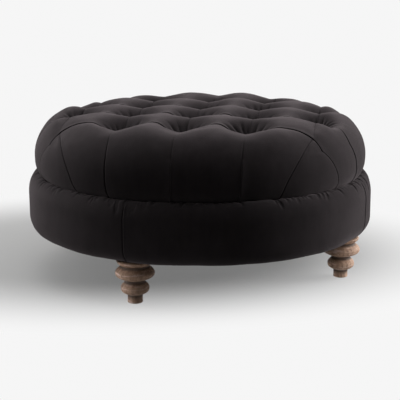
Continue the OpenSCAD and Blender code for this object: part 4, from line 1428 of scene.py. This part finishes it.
def make_camera():
    """The photograph's view."""
    data = bpy.data.cameras.new("camera")
    data.lens = CAMERA_LENS
    data.sensor_width = CAMERA_FILM
    eye = bpy.data.objects.new("camera", data)
    eye.location = (CAMERA_AWAY * math.sin(CAMERA_TURN), -CAMERA_AWAY * math.cos(CAMERA_TURN), CAMERA_HEIGHT)
    eye.rotation_euler = (math.pi / 2 - CAMERA_PITCH, 0, CAMERA_TURN)
    bpy.context.scene.collection.objects.link(eye)
    bpy.context.scene.camera = eye


def make_lamp(name, size, power, place, aim, spread):
    """A soft rectangular lamp; one with a narrow spread lights only what it is aimed at."""
    data = bpy.data.lights.new(name, "AREA")
    data.shape = "RECTANGLE"
    data.size, data.size_y = size
    data.energy = power
    data.spread = math.radians(spread)
    lamp = bpy.data.objects.new(name, data)
    lamp.location = place
    lamp.rotation_euler = (Vector(aim) - Vector(place)).to_track_quat("-Z", "Y").to_euler()
    bpy.context.scene.collection.objects.link(lamp)


def seen_by_lens(tree):
    """1 for what the camera sees, also in or through a shiny piece, and 0 for light on the pieces."""
    path = add_node(tree, "ShaderNodeLightPath")
    seen = math_node(tree, "MAXIMUM", path.outputs["Is Camera Ray"], path.outputs["Is Glossy Ray"])
    return math_node(tree, "MAXIMUM", seen, path.outputs["Is Transmission Ray"])


def make_floor():
    """A pale floor that keeps the pouf's real shadow and goes over to white paper around it; the paper starts
    further out to the left and back, which leaves painted shade on the floor there.
    """
    corners = [(FLOOR_HALF * x, FLOOR_HALF * y, 0) for x, y in ((-1, -1), (1, -1), (1, 1), (-1, 1))]
    floor = make_piece("floor", corners, [[0, 1, 2, 3]], False)
    finish, tree, shader = new_finish("pale_floor")
    paper = add_node(tree, "ShaderNodeEmission", {"Color": (*PAPER_COLOUR, 1), "Strength": 1.0}).outputs[0]
    place = add_node(tree, "ShaderNodeTexCoord").outputs["Object"]
    turned = add_node(tree, "ShaderNodeMapping", {"Vector": place, "Rotation": (0, 0, -CAMERA_TURN)})
    turned = separate(tree, turned.outputs["Vector"])
    ways = [math_node(tree, "DIVIDE", math_node(tree, "SUBTRACT", way, middle), reach)
            for way, middle, reach in zip(turned, FLOOR_MIDDLE, FLOOR_REACH)]
    away = math_node(tree, "SQRT", math_node(tree, "ADD", *(product(tree, way, way) for way in ways)))
    share = product(tree, ease_node(tree, away, *FLOOR_EDGE), seen_by_lens(tree))
    set_inputs(tree, shader, {
        "Base Color": (*FLOOR_COLOUR, 1), "Roughness": 0.85, "Specular IOR Level": 0.2,
        "Emission Strength": product(tree, seen_by_lens(tree), FLOOR_GLOW), "Emission Color": (*WHITE, 1)})
    mixed = add_node(tree, "ShaderNodeMixShader", {0: share, 1: shader.outputs[0], 2: paper}).outputs[0]
    tree.links.new(mixed, tree.nodes["Material Output"].inputs["Surface"])
    floor.data.materials.append(finish)


def make_world():
    """Soft light from all round, and white paper behind the pouf for the lens."""
    world = bpy.data.worlds.new("studio")
    bpy.context.scene.world = world
    world.use_nodes = True
    tree = world.node_tree
    air = tree.nodes["Background"]
    set_inputs(tree, air, {"Color": (*WHITE, 1), "Strength": AIR_LIGHT})
    paper = add_node(tree, "ShaderNodeBackground", {"Color": (*PAPER_COLOUR, 1), "Strength": 1.0}).outputs[0]
    mixed = add_node(tree, "ShaderNodeMixShader", {0: seen_by_lens(tree), 1: air.outputs[0], 2: paper})
    tree.links.new(mixed.outputs[0], tree.nodes["World Output"].inputs["Surface"])


def make_studio():
    """A pale floor under soft lamps above, behind and at both sides, and two low ones for the front feet."""
    make_floor()
    make_world()
    for lamp in LAMPS:
        make_lamp(*lamp)
    bpy.context.scene.view_settings.view_transform = "Standard"


# The pouf

make_camera()
make_studio()

charcoal = velvet("charcoal_velvet", VELVET_SHADE)
button_cloth = velvet("button_velvet", VELVET_SHADE)
oak = weathered_oak("weathered_oak")
lining = bonded_lining("black_lining")
foam = cut_foam("cream_foam")
wadding = fibre_wadding("white_wadding")
zinc = zinc_plate("zinc_plate")
twine = waxed_twine("waxed_twine")
nylon = moulded_nylon("scuffed_nylon")
washer_fibre = pressed_board("red_brown_fibre", (0.42, 0.33, 0.24), (0.2, 0.12, 0.08), 900)
hardboard = pressed_board("brown_hardboard", (0.36, 0.245, 0.155), (0.16, 0.09, 0.05), 500)
card = pressed_board("grey_brown_card", (0.52, 0.41, 0.29), (0.3, 0.22, 0.15), 700)
ply = sawn_wood("birch_ply", (0.74, 0.6, 0.41), (0.48, 0.33, 0.2), "X", plies=110)
long_wood = sawn_wood("softwood_along", *SOFTWOOD, "X")
upright_wood = sawn_wood("softwood_upright", *SOFTWOOD, "Z")
cross_wood = sawn_wood("softwood_across", *SOFTWOOD, "Y")

seat = finish_piece(make_seat(), charcoal, "upholstery", "seat_cover")
band = finish_piece(make_band(), charcoal, "upholstery", "band_cover")
finish_piece(make_buttons(button_cloth), button_cloth, "button_cloth", "tuft_buttons")
for number, side in enumerate(("front_right", "back_right", "back_left", "front_left")):
    finish_piece(make_foot(side + "_turned_foot", number), oak, "oak", side + "_foot")
dust_cover = finish_piece(make_dust_cover(), lining, "lining", "dust_cover")
finish_piece(make_staples(zinc), zinc, "zinc_steel")
foam_dome = soften("soft_foam_dome", "seat_foam", voxel=5 * MM, depth=1.2 * MM, size=0.05, seed=51)
finish_piece(foam_dome, foam, "foam", "seat_foam")
soft_padding = finish_piece(make_padding(), wadding, "wadding", "band_padding")

# The solids that stay as they are: their finishes, where it isn't zinc
CARRIED_OVER = {
    "seat_deck": ply, "base_ring": ply, "leg_blocks": long_wood, "main_bearer": long_wood,
    "left_side_bearer": cross_wood, "right_side_bearer": cross_wood,
    "frame_posts": upright_wood, "side_panel": hardboard, "tack_strip": card, "button_twine": twine,
    "anchor_washers": washer_fibre, "foot_glides": nylon}
for name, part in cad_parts.items():
    part.data.materials.clear()
    part.data.materials.append(CARRIED_OVER.get(name, zinc))
